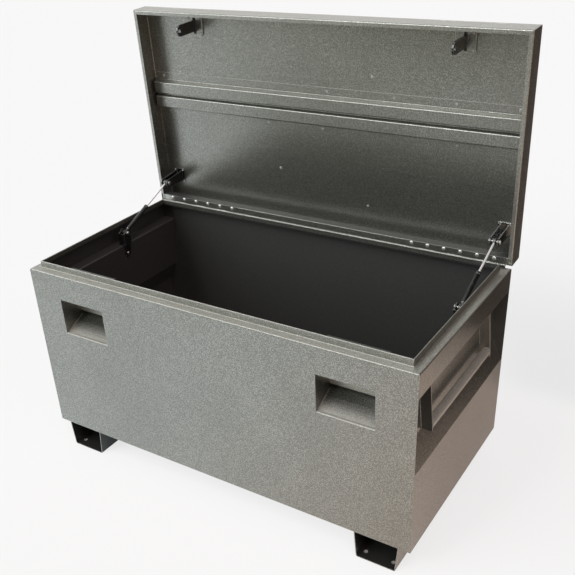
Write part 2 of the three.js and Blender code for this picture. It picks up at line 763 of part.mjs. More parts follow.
function tongue() {
  const x = HALF_WIDTH - LOCK_INSET;
  const y = lidY(TUB_DEPTH - TONGUE_SETBACK);
  const top = lidZ(LID_DEPTH - SHEET - SEAM - TONGUE_PLATE_SHEET - SEAM);
  const tip = lidZ(-TONGUE_REACH);
  const half = TONGUE_WIDTH / 2;
  const root = half + TONGUE_SHOULDER;
  const shape = new THREE.Shape();
  shape.moveTo(y - root, top);
  shape.quadraticCurveTo(y - half, top, y - half, top - TONGUE_ROOT);
  shape.lineTo(y - half, tip + half);
  shape.absarc(y, tip + half, half, Math.PI, 2 * Math.PI);
  shape.lineTo(y + half, top - TONGUE_ROOT);
  shape.quadraticCurveTo(y + half, top, y + root, top);
  shape.closePath();
  const plate = prism(shape, ALONG_X, x - TONGUE_SHEET / 2, x + TONGUE_SHEET / 2);
  const centre = [y, tip + TONGUE_HOLE_EDGE];
  return plate.subtract(bar(TONGUE_HOLE / 2, x - OVERRUN, x + OVERRUN, centre, ALONG_X, HOLE_SIDES));
}

// Struts and brackets on the right

const armInner = ARM_GAP / 2;
const armOuter = armInner + ARM_SHEET;

function pivotHole(centre) {
  const reach = armOuter + OVERRUN;
  return bar(BOLT_RADIUS + BOLT_PLAY, STRUT_X - reach, STRUT_X + reach, centre, ALONG_X, HOLE_SIDES);
}

function lidClevis() {
  const y = lidY(CLEVIS_FORWARD);
  const pivot = lidZ(-CLEVIS_REACH);
  const top = lidZ(LID_DEPTH - SHEET - SEAM);
  const under = top - ARM_SHEET;
  const halfX = CLEVIS_PLATE_WIDTH / 2;
  const halfY = CLEVIS_PLATE_HEIGHT / 2;
  let solid = box([STRUT_X - halfX, y - halfY, under], [STRUT_X + halfX, y + halfY, top]);
  const root = CLEVIS_ARM_ROOT / 2;
  const arm = new THREE.Shape();
  arm.moveTo(y - root, under + ARM_SHEET / 2);
  arm.lineTo(y - ARM_END_RADIUS, pivot);
  arm.absarc(y, pivot, ARM_END_RADIUS, Math.PI, 2 * Math.PI);
  arm.lineTo(y + root, under + ARM_SHEET / 2);
  arm.closePath();
  for (const from of [STRUT_X - armOuter, STRUT_X + armInner]) {
    solid = solid.add(prism(arm, ALONG_X, from, from + ARM_SHEET));
  }
  const webBack = y + root - ARM_SHEET / 2;
  const web = box([STRUT_X - armOuter, webBack - ARM_SHEET, under - CLEVIS_WEB_REACH],
    [STRUT_X + armOuter, webBack, under + ARM_SHEET / 2]);
  const lean = prism([[y - root, under + OVERRUN], [y - ARM_END_RADIUS, pivot], [y + ARM_END_RADIUS, pivot],
    [y + root, under + OVERRUN]], ALONG_X, STRUT_X - armOuter, STRUT_X + armOuter);
  solid = solid.add(web.intersect(lean));
  return solid.subtract(pivotHole([y, pivot]));
}

// Half of the upper pivot's pin: a domed head and a shank that stops short of the rod's eye
function pinProfile(reach) {
  const seat = armOuter + SEAM;
  const dome = BOLT_HEAD_RADIUS * Math.SQRT1_2;
  return [
    [0, reach],
    [BOLT_RADIUS, reach],
    [BOLT_RADIUS, seat],
    [BOLT_HEAD_RADIUS, seat],
    [BOLT_HEAD_RADIUS, seat + BOLT_HEAD_HEIGHT / 2],
    [dome, seat + BOLT_HEAD_HEIGHT],
    [0, seat + BOLT_HEAD_HEIGHT],
  ];
}

function clevisPin(side) {
  const geometry = turned(pinProfile(EYE_WIDTH / 2 + SEAM), HOLE_SIDES).rotateX(Math.PI / 2);
  geometry.rotateY((side * Math.PI) / 2);
  return geometry;
}

function footBolt() {
  const seat = armOuter + SEAM;
  const rise = BOLT_HEAD_HEIGHT;
  const dome = BOLT_HEAD_RADIUS * Math.SQRT1_2;
  const half = [
    [BOLT_RADIUS, seat],
    [BOLT_HEAD_RADIUS, seat],
    [BOLT_HEAD_RADIUS, seat + rise / 2],
    [dome, seat + rise],
    [0, seat + rise],
  ];
  const profile = [...half.map(([r, h]) => [r, -h]).reverse(), ...half];
  return turned(profile, HOLE_SIDES).rotateX(Math.PI / 2).rotateY(Math.PI / 2);
}

// Bracket over the inner corner of the recess: two arms, a web, a foot and a bolted tab
function strutMount() {
  const { y, z } = FOOT;
  const shelf = TUB_BASE + ROOF_LEVEL + HALF_SHEET + SEAM;
  const [low, high] = [STRUT_X - armOuter, STRUT_X + armOuter];
  const front = y - ARM_END_RADIUS - MOUNT_WEB_GAP;
  const back = y + ARM_END_RADIUS;
  const arm = new THREE.Shape();
  arm.moveTo(back, shelf);
  arm.lineTo(back, z);
  arm.absarc(y, z, ARM_END_RADIUS, 0, Math.PI / 2);
  arm.lineTo(front, z);
  arm.lineTo(front, shelf);
  arm.closePath();
  let solid = box([low, front, shelf], [high, front + ARM_SHEET, z]);
  solid = solid.add(box([low, front, shelf], [high, back, shelf + ARM_SHEET])).add(mountTab(shelf));
  for (const from of [low, STRUT_X + armInner]) {
    solid = solid.add(prism(arm, ALONG_X, from, from + ARM_SHEET));
  }
  return solid.subtract(pivotHole([y, z])).subtract(tabHole());
}

// Directions of the recess's back wall on the right: across it, up it and out through it
function recessWall() {
  const run = [SLOPE_DEPTH - RECESS_DEPTH, ROOF_LEVEL - SLOPE_TOP];
  const up = new THREE.Vector3(run[0], 0, run[1]).normalize();
  const out = new THREE.Vector3().crossVectors(Y, up);
  const corner = new THREE.Vector3(HALF_WIDTH - RECESS_DEPTH, 0, TUB_BASE + ROOF_LEVEL);
  return { axes: [Y, up, out], top: up.dot(corner), face: out.dot(corner) - HALF_SHEET };
}

function mountTab(shelf) {
  const { axes, top, face } = recessWall();
  const half = MOUNT_TAB_WIDTH / 2;
  const join = top + shelf - TUB_BASE - ROOF_LEVEL + ARM_SHEET / 2;
  const tab = new THREE.Shape();
  tab.moveTo(FOOT.y + half, join);
  tab.lineTo(FOOT.y - half, join);
  tab.absarc(FOOT.y, top - MOUNT_TAB + half, half, Math.PI, 2 * Math.PI);
  tab.closePath();
  return prism(tab, axes, face - SEAM - ARM_SHEET, face - SEAM);
}

function tabHole() {
  const { axes, top, face } = recessWall();
  const centre = [FOOT.y, top - MOUNT_TAB + TAB_BOLT_EDGE];
  const radius = TAB_BOLT_RADIUS + BOLT_PLAY;
  return bar(radius, face - ARM_SHEET - OVERRUN, face + SHEET + OVERRUN, centre, axes, HOLE_SIDES);
}

// Bolt through the tab and the recess's back wall, with a domed head on the inside
function tabBolt() {
  const { axes, top, face } = recessWall();
  const seat = -SEAM - ARM_SHEET - SEAM;
  const crown = TAB_HEAD_RADIUS * Math.SQRT1_2;
  const geometry = turned([
    [0, seat - TAB_HEAD_HEIGHT],
    [crown, seat - TAB_HEAD_HEIGHT],
    [TAB_HEAD_RADIUS, seat - TAB_HEAD_HEIGHT / 2],
    [TAB_HEAD_RADIUS, seat],
    [TAB_BOLT_RADIUS, seat],
    [TAB_BOLT_RADIUS, SHEET + SEAM],
    [0, SHEET + SEAM],
  ], HOLE_SIDES).rotateX(Math.PI / 2).translate(FOOT.y, top - MOUNT_TAB + TAB_BOLT_EDGE, face);
  return toSolid(geometry.applyMatrix4(new THREE.Matrix4().makeBasis(...axes)));
}

// Strut pieces in the strut's own frame: Z runs from the lower pivot towards the lid

function acrossEye(radius, width, centre) {
  return bar(radius, STRUT_X - width / 2, STRUT_X + width / 2, [0, centre], ALONG_X);
}

function alongStrut(profile) {
  return toSolid(turned(profile).rotateX(Math.PI / 2).translate(STRUT_X, 0, 0));
}

function strutCylinder() {
  const bore = ROD_RADIUS + BORE_PLAY;
  const body = alongStrut([
    [0, 0],
    [NECK_RADIUS * Math.SQRT1_2, 0],
    [NECK_RADIUS * Math.SQRT1_2, CYLINDER_START],
    [CYLINDER_RADIUS - CYLINDER_SHOULDER, CYLINDER_START],
    [CYLINDER_RADIUS, CYLINDER_START + CYLINDER_SHOULDER],
    [CYLINDER_RADIUS, CYLINDER_END],
    [bore, CYLINDER_END],
    [bore, BORE_START],
    [0, BORE_START],
  ]);
  return body.add(acrossEye(EYE_RADIUS, EYE_WIDTH, 0))
    .subtract(acrossEye(BOLT_RADIUS + BOLT_PLAY, EYE_WIDTH + OVERRUN, 0));
}

function strutGland() {
  const from = CYLINDER_END + SEAM;
  const bore = ROD_RADIUS + ROD_PLAY;
  const chamfer = GLAND_RADIUS - CYLINDER_RADIUS;
  return alongStrut([
    [bore, from],
    [GLAND_RADIUS, from],
    [GLAND_RADIUS, from + GLAND_LENGTH - chamfer],
    [CYLINDER_RADIUS, from + GLAND_LENGTH],
    [bore, from + GLAND_LENGTH],
  ]);
}

function strutRod(length) {
  const rod = alongStrut([[0, ROD_TAIL], [ROD_RADIUS, ROD_TAIL], [ROD_RADIUS, length], [0, length]]);
  return rod.add(acrossEye(EYE_RADIUS, EYE_WIDTH, length))
    .subtract(acrossEye(BOLT_RADIUS + BOLT_PLAY, EYE_WIDTH + OVERRUN, length));
}

// Where the open lid carries the upper pivot, seen from the lower one
function openStrut() {
  const y = lidY(CLEVIS_FORWARD);
  const z = lidZ(-CLEVIS_REACH);
  const up = Math.cos(OPEN_ANGLE) * z - Math.sin(OPEN_ANGLE) * y;
  const back = Math.cos(OPEN_ANGLE) * y + Math.sin(OPEN_ANGLE) * z;
  const rise = AXIS.z + up - FOOT.z;
  const run = AXIS.y + back - FOOT.y;
  return { length: Math.hypot(run, rise), slope: Math.atan2(rise, run) };
}

// Assembly

function buildTub(parent) {
  piece(parent, 'front_panel', setWall(frontWall(), 90, HALF_DEPTH), 'paint');
  piece(parent, 'rear_panel', setWall(wall(longWallPoints(), HALF_WIDTH), -90, HALF_DEPTH), 'paint');
  const end = toSolid(setWall(endWall(), 180, HALF_WIDTH)).subtract(tabHole());
  pair(parent, 'end_panel', end, 'paint');
  piece(parent, 'floor_panel', toGeometry(floorPanel()), 'inner');
  pair(parent, 'lock_well', lockWell(), 'paint');
  pair(parent, 'rear_gusset', gusset(), 'paint');
  const front = toGeometry(gusset()).translate(0, -GUSSET_SPACING, 0);
  pair(parent, 'front_gusset', toSolid(front), 'paint');
  pair(parent, 'grip', grip(), 'paint');
  pair(parent, 'skid', skid(), 'paint');
  pair(parent, 'tub_leaf', tubLeaf(), 'paint');
  pair(parent, 'hinge_pin', hingePin(), 'zinc');
  pair(parent, 'strut_mount', strutMount(), 'black');
  const bolt = footBolt().translate(STRUT_X, FOOT.y, FOOT.z);
  pair(parent, 'foot_bolt', toSolid(bolt), 'zinc');
  pair(parent, 'tab_bolt', tabBolt(), 'zinc');
}

function buildLid(parent) {
  const lid = new THREE.Group();
  lid.position.set(0, AXIS.y, AXIS.z);
  lid.rotation.x = -OPEN_ANGLE;
  parent.add(lid);
  piece(lid, 'lid_top', toGeometry(lidTop()), 'paint');
  pair(lid, 'lid_end', lidEnd(), 'paint');
  piece(lid, 'hinge_rail', toGeometry(hingeRail()), 'paint');
  piece(lid, 'lid_stiffener', toGeometry(stiffener()), 'paint');
  pair(lid, 'tongue_plate', tonguePlate(), 'zinc');
  pair(lid, 'lock_tongue', tongue(), 'black');
  pair(lid, 'lid_leaf', lidLeaf(), 'zinc');
  rivetPlaces().forEach((x, i) => {
    const geometry = rivet().rotateX(Math.PI / 2).translate(x, lidY(RIVET_SETBACK), lidZ(RAIL_RISE));
    pair(lid, `hinge_rivet_${i + 1}`, toSolid(geometry), 'chrome');
  });
  pair(lid, 'lid_clevis', lidClevis(), 'zinc');
  const pivot = [STRUT_X, lidY(CLEVIS_FORWARD), lidZ(-CLEVIS_REACH)];
  pair(lid, 'outer_clevis_pin', toSolid(clevisPin(1).translate(...pivot)), 'zinc');
  pair(lid, 'inner_clevis_pin', toSolid(clevisPin(-1).translate(...pivot)), 'zinc');
}

function buildStruts(parent) {
  const { length, slope } = openStrut();
  const strut = new THREE.Group();
  strut.position.set(0, FOOT.y, FOOT.z);
  strut.rotation.x = slope - Math.PI / 2;
  parent.add(strut);
  pair(strut, 'strut_cylinder', strutCylinder(), 'black');
  pair(strut, 'strut_gland', strutGland(), 'black');
  pair(strut, 'strut_rod', strutRod(length), 'chrome');
}

const storageBox = new THREE.Group();
buildTub(storageBox);
buildLid(storageBox);
buildStruts(storageBox);

// The frame's origin is under the middle of the whole box with its lid open
storageBox.updateMatrixWorld(true);
const bounds = new THREE.Box3().setFromObject(storageBox, true);
storageBox.position.y = -(bounds.min.y + bounds.max.y) / 2;

export default storageBox;
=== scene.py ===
"""Looks of a folded steel jobsite storage box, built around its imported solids.

The box stands with its lid open on two gas struts. Everything is in metres, in the frame of
the solids: X to the right, Y to the back, Z up.
"""

import logging
import math
from dataclasses import dataclass
from enum import Enum
from typing import Any, Callable, Iterable, Sequence, Union

import bmesh
import bpy
from mathutils import Matrix, Vector
from mathutils.bvhtree import BVHTree


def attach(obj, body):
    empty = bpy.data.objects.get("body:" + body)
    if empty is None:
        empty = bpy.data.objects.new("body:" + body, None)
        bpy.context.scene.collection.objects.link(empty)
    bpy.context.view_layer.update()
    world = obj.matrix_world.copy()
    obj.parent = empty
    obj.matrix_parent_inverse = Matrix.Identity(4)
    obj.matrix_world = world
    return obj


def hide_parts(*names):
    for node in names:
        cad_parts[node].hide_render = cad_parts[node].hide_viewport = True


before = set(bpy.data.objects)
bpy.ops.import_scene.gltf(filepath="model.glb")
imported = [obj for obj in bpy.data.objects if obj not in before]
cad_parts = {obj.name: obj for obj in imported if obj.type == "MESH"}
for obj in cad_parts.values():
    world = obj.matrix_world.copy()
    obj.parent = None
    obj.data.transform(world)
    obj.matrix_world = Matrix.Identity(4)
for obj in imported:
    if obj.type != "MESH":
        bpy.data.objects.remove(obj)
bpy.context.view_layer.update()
LOG = logging.getLogger("storage_box")
SIDES = (("right", 1.0), ("left", -1.0))
BACKWARD = Vector((0.0, 1.0, 0.0))
SEED = 7

# Cosines of a face that looks straight in a direction, and of one that is only turned to it
STRAIGHT = 0.9
TURNED = 0.5

# The sharpest step inside a bend: what is sharper is a cut edge
BEND_DEG = 38.0
FLAT_DEG = 0.4
MERGE_DISTANCE = 2e-6

# Ends of an edge that differ by less lie at one level
LEVEL = 0.001

Value = Union["Wire", float, Sequence[float]]
Colour = tuple[float, float, float]
Pair = tuple[float, float]
Work = bmesh.types.BMesh
Face = bmesh.types.BMFace
Thing = bpy.types.Object
Picker = Callable[[Work], Iterable[Face]]
Shaper = Callable[[Work], None]
Keeper = Callable[[Vector, Vector], bool]

NIGHT: Colour = (0.0, 0.0, 0.0)


def from_srgb(red: int, green: int, blue: int) -> Colour:
    """Linear colour of an sRGB colour whose parts are 0 to 255."""
    def linear(share: float) -> float:
        """One linear share."""
        return share / 12.92 if share <= 0.04045 else ((share + 0.055) / 1.055) ** 2.4

    return linear(red / 255), linear(green / 255), linear(blue / 255)


def gained(tone: Colour, gain: float) -> Colour:
    """A colour made lighter or darker, never brighter than white."""
    return tuple(min(1.0, channel * gain) for channel in tone)


def grey(level: float) -> Colour:
    """A grey of one level."""
    return level, level, level


# Node trees


def maths(operation: str, swapped: bool = False) -> Callable[["Wire", Value], "Wire"]:
    """Makes the method that puts a wire and another value, which may come first, in one node."""
    def method(self: "Wire", other: Value) -> "Wire":
        """Adds the node."""
        first, second = (other, self) if swapped else (self, other)
        return self.board.add("ShaderNodeMath", {"operation": operation}, {0: first, 1: second})

    return method


class Wire:
    """An output socket that takes part in Python arithmetic on its own tree."""

    __add__, __radd__ = maths("ADD"), maths("ADD", True)
    __sub__, __rsub__ = maths("SUBTRACT"), maths("SUBTRACT", True)
    __mul__, __rmul__ = maths("MULTIPLY"), maths("MULTIPLY", True)

    def __init__(self, board: "Board", socket: bpy.types.NodeSocket) -> None:
        """Keeps the board and the socket."""
        self.board = board
        self.socket = socket

    def ramp(self, low: float, high: float, start: float = 0.0, end: float = 1.0) -> "Wire":
        """Smooth step from a start to an end value between a low and a high input."""
        settings = {"interpolation_type": "SMOOTHSTEP"}
        inputs = {0: self, 1: low, 2: high, 3: start, 4: end}
        return self.board.add("ShaderNodeMapRange", settings, inputs)


class Board:
    """A node tree with one method that adds any node."""

    def __init__(self, tree: bpy.types.NodeTree) -> None:
        """Keeps the tree."""
        self.tree = tree

    def feed(self, socket: bpy.types.NodeSocket, value: Value) -> None:
        """Links a wire to a socket, or sets the socket's own value.

        Args:
            socket: the input to fill.
            value: a wire, a number, or the parts of a colour or vector.
        """
        if isinstance(value, Wire):
            self.tree.links.new(value.socket, socket)
        elif socket.type == "RGBA" and len(value) == 3:
            socket.default_value = (*value, 1.0)
        else:
            socket.default_value = value

    def add(
        self,
        kind: str,
        settings: dict[str, Any] | None = None,
        inputs: dict[str | int, Value] | None = None,
        output: str | int = 0,
    ) -> Wire:
        """Adds a node.

        Args:
            kind: the node's type.
            settings: properties of the node itself, set first.
            inputs: values or wires by the socket's name or number.
            output: the output that is wanted.

        Returns:
            That output as a wire.
        """
        node = self.tree.nodes.new(kind)
        for name, setting in (settings or {}).items():
            setattr(node, name, setting)
        for key, value in (inputs or {}).items():
            self.feed(node.inputs[key], value)
        return Wire(self, node.outputs[output])

    def part(self, vector: Wire, axis: str) -> Wire:
        """One part of a vector."""
        return self.add("ShaderNodeSeparateXYZ", None, {0: vector}, axis)

    def mix(self, factor: Value, first: Value, second: Value) -> Wire:
        """Mixes two colours by the share of the second one."""
        inputs = {0: factor, 6: first, 7: second}
        return self.add("ShaderNodeMix", {"data_type": "RGBA"}, inputs, output=2)

    def noise(self, point: Wire, scale: float, detail: float = 2.0, rough: float = 0.5) -> Wire:
        """Fractal noise from 0 to 1 at a point, with so many waves per metre and octaves."""
        inputs = {"Vector": point, "Scale": scale, "Detail": detail, "Roughness": rough}
        return self.add("ShaderNodeTexNoise", None, inputs)

    def rays(self, *kinds: str) -> Wire:
        """1 for the kinds of ray that are named."""
        total = self.add("ShaderNodeLightPath", output=kinds[0])
        for kind in kinds[1:]:
            total = total + self.add("ShaderNodeLightPath", output=kind)
        return total.ramp(0.0, 1.0)


class SurfaceBoard(Board):
    """The tree of a material with one Principled shader."""

    def __init__(self, name: str) -> None:
        """Makes the material and its shader."""
        self.material = bpy.data.materials.new(name)
        self.material.use_nodes = True
        super().__init__(self.material.node_tree)
        self.shader = self.tree.nodes["Principled BSDF"]
        self.place = self.add("ShaderNodeTexCoord", output="Object")

    def attribute(self, name: str) -> Wire:
        """A value kept on the mesh."""
        settings = {"attribute_type": "GEOMETRY", "attribute_name": name}
        return self.add("ShaderNodeAttribute", settings, output="Fac")

    def cells(self, scale: float) -> Wire:
        """Distance inside Voronoi cells of so many per metre."""
        inputs = {"Vector": self.place, "Scale": scale}
        return self.add("ShaderNodeTexVoronoi", {"feature": "F1"}, inputs, "Distance")

    def bump(self, height: Wire, depth: float, strength: float) -> Wire:
        """Surface normal of a height that is a share of a depth in metres."""
        inputs = {"Strength": strength, "Distance": depth, "Height": height}
        return self.add("ShaderNodeBump", None, inputs)

    def finish(self, **sockets: Value) -> bpy.types.Material:
        """Fills the shader.

        Args:
            sockets: values by the socket's name in lower case with underscores.

        Returns:
            The material.
        """
        for key, value in sockets.items():
            words = (word.upper() if word == "ior" else word.capitalize()
                     for word in key.split("_"))
            self.feed(self.shader.inputs[" ".join(words)], value)
        return self.material

    def glowing(self, base: Value, glow: Value) -> bpy.types.Material:
        """A dull surface that gives light of its own."""
        return self.finish(base_color=base, emission_color=glow, emission_strength=1.0,
                           roughness=1.0, specular_ior_level=0.0)


class PatternBoard(Board):
    """A Geometry Nodes tree with named inputs that ends in real mesh with one finish."""

    def __init__(self, name: str) -> None:
        """Makes the tree with its two ends."""
        super().__init__(bpy.data.node_groups.new(name, "GeometryNodeTree"))
        self.ports = self.tree.interface
        for end in ("INPUT", "OUTPUT"):
            self.ports.new_socket("Geometry", in_out=end, socket_type="NodeSocketGeometry")
        self.entry = self.tree.nodes.new("NodeGroupInput")
        self.base = Wire(self, self.entry.outputs[0])

    def size(self, name: str, kind: str = "NodeSocketFloat") -> Wire:
        """Adds a named input."""
        self.ports.new_socket(name, in_out="INPUT", socket_type=kind)
        return Wire(self, self.entry.outputs[name])

    def join(self, *parts: Wire) -> Wire:
        """Joins several meshes."""
        node = self.tree.nodes.new("GeometryNodeJoinGeometry")
        for part in parts:
            self.feed(node.inputs[0], part)
        return Wire(self, node.outputs[0])

    def vary(self, low: float, high: float) -> Wire:
        """A random number for each copy."""
        inputs = {2: low, 3: high, "Seed": SEED}
        return self.add("FunctionNodeRandomValue", {"data_type": "FLOAT"}, inputs, output=1)

    def vector(self, x: Value, y: Value, z: Value) -> Wire:
        """A vector of three values."""
        return self.add("ShaderNodeCombineXYZ", None, {0: x, 1: y, 2: z})

    def scaled(self, geometry: Wire, scale: Wire, shift: Value = NIGHT) -> Wire:
        """A mesh that is scaled and then moved."""
        inputs = {"Geometry": geometry, "Scale": scale, "Translation": shift}
        return self.add("GeometryNodeTransform", None, inputs)

    def close(self, points: Wire, shape: Wire, facing: Wire, scale: Value) -> "PatternBoard":
        """Ends the tree in real copies of a shape with the finish that is asked for.

        Args:
            points: where the copies stand.
            shape: what is copied.
            facing: the direction that the shape's Z axis takes.
            scale: size of each copy.

        Returns:
            The board itself.
        """
        turn = self.add("FunctionNodeAlignRotationToVector", {"axis": "Z"}, {"Vector": facing})
        wire = self.add("GeometryNodeInstanceOnPoints", None, {
            "Points": points, "Instance": shape, "Rotation": turn, "Scale": scale})
        wire = self.add("GeometryNodeRealizeInstances", None, {"Geometry": wire})
        wire = self.add("GeometryNodeSetShadeSmooth", None, {"Geometry": wire})
        finish = self.size("Finish", "NodeSocketMaterial")
        wire = self.add("GeometryNodeSetMaterial", None, {"Geometry": wire, "Material": finish})
        self.feed(self.tree.nodes.new("NodeGroupOutput").inputs[0], wire)
        return self

    def bake(self, base: bpy.types.Mesh, name: str, sizes: dict[str, Any]) -> Thing:
        """Runs the tree on a mesh and keeps the result as a plain mesh.

        Args:
            base: the points or edges that the tree works on.
            name: name of the new piece.
            sizes: values of the named inputs.

        Returns:
            The piece, with no modifier left on it.
        """
        thing = object_of(base, name)
        modifier = thing.modifiers.new("pattern", "NODES")
        modifier.node_group = self.tree
        for item in self.ports.items_tree:
            if item.item_type == "SOCKET" and item.in_out == "INPUT" and item.name in sizes:
                modifier[item.identifier] = sizes[item.name]
        return baked(thing)


class FastenerBoard(PatternBoard):
    """A tree that sets one fastener of a given radius, height and facing on each point."""

    def __init__(self, name: str) -> None:
        """Adds the three sizes."""
        super().__init__(name)
        self.radius, self.height = self.size("Radius"), self.size("Height")
        self.facing = self.size("Facing", "NodeSocketVector")

    def dome(self, segments: int, rings: int, wide: float = 1.0, tall: float = 1.0,
             lift: float = 0.0) -> Wire:
        """A ball, flattened and raised by shares of the fastener's own radius and height."""
        inputs = {"Segments": segments, "Rings": rings, "Radius": 1.0}
        ball = self.add("GeometryNodeMeshUVSphere", None, inputs, "Mesh")
        width = self.radius * wide
        return self.scaled(ball, self.vector(width, width, self.height * tall),
                           self.vector(0.0, 0.0, self.height * lift))

    def frustum(self, sides: int, top: float, foot: float, tall: float) -> Wire:
        """A cone with its tip cut off, in shares of the fastener's own radius and height."""
        return self.add("GeometryNodeMeshCone", None, {
            "Vertices": sides, "Radius Top": self.radius * top,
            "Radius Bottom": self.radius * foot, "Depth": self.height * tall}, "Mesh")

    def place(self, shape: Wire, scale: Value) -> "PatternBoard":
        """Ends the tree with the fastener on each point."""
        return self.close(self.base, shape, self.facing, scale)


def rivet_heads() -> PatternBoard:
    """Domed rivet heads on a thin collar, one on each point."""
    board = FastenerBoard("rivet_heads")
    head = board.join(board.frustum(24, 0.9, 1.0, 0.3), board.dome(24, 12, 0.93, 0.82, 0.18))
    return board.place(head, board.vary(0.97, 1.0))


def socket_screws() -> PatternBoard:
    """Button screws with a hexagonal socket, one on each point."""
    board = FastenerBoard("socket_screws")
    key = board.scaled(board.frustum(6, 0.45, 0.4, 1.0), board.vector(1.0, 1.0, 1.0),
                       board.vector(0.0, 0.0, board.height * 0.45))
    cut = board.tree.nodes.new("GeometryNodeMeshBoolean")
    cut.operation = "DIFFERENCE"
    board.feed(cut.inputs["Mesh 1"], board.dome(20, 12))
    board.feed(cut.inputs["Mesh 2"], key)
    return board.place(Wire(board, cut.outputs[0]), (1.0, 1.0, 1.0))


def weld_spots() -> PatternBoard:
    """Shallow resistance-weld dimples, one on each point."""
    board = FastenerBoard("weld_spots")
    return board.place(board.dome(18, 10), board.vary(0.75, 1.15))


def weld_beads() -> PatternBoard:
    """Overlapping weld ripples along the edges of a mesh."""
    board = PatternBoard("weld_beads")
    width, pitch = board.size("Width"), board.size("Pitch")
    path = board.add("GeometryNodeMeshToCurve", None, {"Mesh": board.base})
    steps = board.add("GeometryNodeResampleCurve", {"mode": "LENGTH"},
                      {"Curve": path, "Length": pitch})
    ball = board.add("GeometryNodeMeshIcoSphere", None, {"Radius": 1.0, "Subdivisions": 2}, "Mesh")
    ripple = board.scaled(ball, board.vector(width * 0.5, width * 0.5, pitch * 0.95))
    tangent = board.add("GeometryNodeInputTangent")
    return board.close(steps, ripple, tangent, board.vary(0.85, 1.12))


# Finishes


@dataclass(frozen=True)
class HammertonePaint:
    """Glossy hammered aluminium enamel with painted shade inside the tub and the skids.

    Faces marked inside get the painted shade, darker still low in the skids, and faces marked for a
    painted highlight get a lighter, less metallic tone.
    """

    name: str = "hammertone_enamel"
    tone: Colour = from_srgb(162, 162, 155)
    tone_gains: Pair = (1.22, 0.5)
    rim_gains: Pair = (1.75, 1.2)
    rim_shares: Pair = (0.7, 0.45)
    painted_shade_tone: Colour = from_srgb(84, 84, 82)
    painted_shade_gain: float = 0.72
    skid_shade_gain: float = 0.35
    skid_shade_top: Pair = (0.084, 0.094)
    cell_pitch: float = 0.0026
    dimple_depth: float = 0.0004
    metallic: float = 0.84
    painted_shade_metallic: float = 0.45
    matt_share: float = 0.5
    roughness: float = 0.22

    def material(self) -> bpy.types.Material:
        """Builds the enamel."""
        board = SurfaceBoard(self.name)
        cell = board.cells(1 / self.cell_pitch).ramp(0.12, 0.62)
        grain = board.noise(board.place, 2.6 / self.cell_pitch, 1.0, 0.5)
        cloud = board.noise(board.place, 5.0, 3.0)
        tint = (cell * 0.5 + grain * 1.1 + cloud * 0.2).ramp(0.6, 1.1)
        inside, rim = board.attribute("inside"), board.attribute("rim")
        # Painted highlight: marked faces take a lighter, less metallic and rougher tone.
        enamel, film = (board.mix(tint, *(gained(self.tone, gain) for gain in gains))
                        for gains in (self.tone_gains, self.rim_gains))
        # Painted shade: inner faces take a darker tone, darker still below the top of the skids.
        low = board.part(board.place, "Z").ramp(*self.skid_shade_top, 1.0, 0.0)
        painted_shade = board.mix(tint, self.painted_shade_tone, gained(self.painted_shade_tone, self.painted_shade_gain))
        painted_shade = board.mix(low, painted_shade, gained(self.painted_shade_tone, self.skid_shade_gain))
        outer, inner = (board.mix(rim * share, base, film)
                        for share, base in zip(self.rim_shares, (enamel, painted_shade)))
        metallic = inside * (self.painted_shade_metallic - self.metallic) - rim * self.matt_share
        return board.finish(
            base_color=board.mix(inside, outer, inner),
            metallic=metallic + self.metallic,
            roughness=grain * 0.14 + inside * 0.1 + rim * 0.15 + self.roughness,
            normal=board.bump((1.0 - cell) * 0.6 + grain * 0.4, self.dimple_depth, 0.3),
        )


@dataclass(frozen=True)
class PlatedSteel:
    """Bright plated steel with a faint mottled bloom, cast on its inside faces, and lighter where
    it has a painted highlight, partly edge wear.
    """

    name: str
    tone: Colour
    roughness: float = 0.3
    bloom: float = 0.1
    patch: float = 0.006
    dull_gain: float = 0.74
    wear_and_highlight_gain: float = 1.3
    wear_and_highlight_share: float = 0.5
    cast: Colour = from_srgb(96, 96, 94)

    def material(self) -> bpy.types.Material:
        """Builds the plating."""
        board = SurfaceBoard(self.name)
        mottle = board.noise(board.place, 1 / self.patch, 4.0, 0.65)
        plate = board.mix(mottle.ramp(0.35, 0.7), self.tone, gained(self.tone, self.dull_gain))
        # Painted highlight, partly edge wear: marked faces are lighter.
        wear_and_highlight = board.attribute("rim") * self.wear_and_highlight_share
        plate = board.mix(wear_and_highlight, plate, gained(self.tone, self.wear_and_highlight_gain))
        return board.finish(
            base_color=board.mix(board.attribute("inside"), plate, self.cast),
            metallic=1.0,
            roughness=mottle * self.bloom + (self.roughness - self.bloom / 2),
            normal=board.bump(mottle, 0.0001, 0.15),
        )


@dataclass(frozen=True)
class BlackEnamel:
    """Glossy black stoved paint with a little orange peel, bright on its edges from wear and from a
    painted highlight.
    """

    name: str
    tone: Colour
    roughness: float = 0.14
    peel_pitch: float = 0.0025
    dust_lift: float = 0.012
    edge_wear_and_highlight: float = 0.55
    plate: Colour = from_srgb(140, 140, 136)
    wear_and_highlight_tone: Colour = from_srgb(200, 200, 198)

    def material(self) -> bpy.types.Material:
        """Builds the enamel."""
        board = SurfaceBoard(self.name)
        peel = board.noise(board.place, 1 / self.peel_pitch, 2.0)
        dust = board.noise(board.place, 60.0, 4.0, 0.7).ramp(0.5, 0.75)
        # Bright edges: partly rubbed wear, partly painted highlight.
        wear_and_highlight, plated = board.attribute("rim") * self.edge_wear_and_highlight, board.attribute("inside")
        black = board.mix(dust, self.tone, tuple(channel + self.dust_lift for channel in self.tone))
        return board.finish(
            base_color=board.mix(wear_and_highlight, board.mix(plated, black, self.plate), self.wear_and_highlight_tone),
            metallic=(wear_and_highlight + plated).ramp(0.0, 1.0),
            roughness=dust * 0.12 + self.roughness,
            normal=board.bump(peel, 0.00015, 0.2),
            coat_weight=0.5,
        )


class Finish(Enum):
    """The finishes on the box, each with its slot in the record."""

    PAINT = "paint"
    INNER = "inner"
    BLACK = "black"
    ZINC = "zinc"
    RIVET = "rivet"
    CHROME = "chrome"


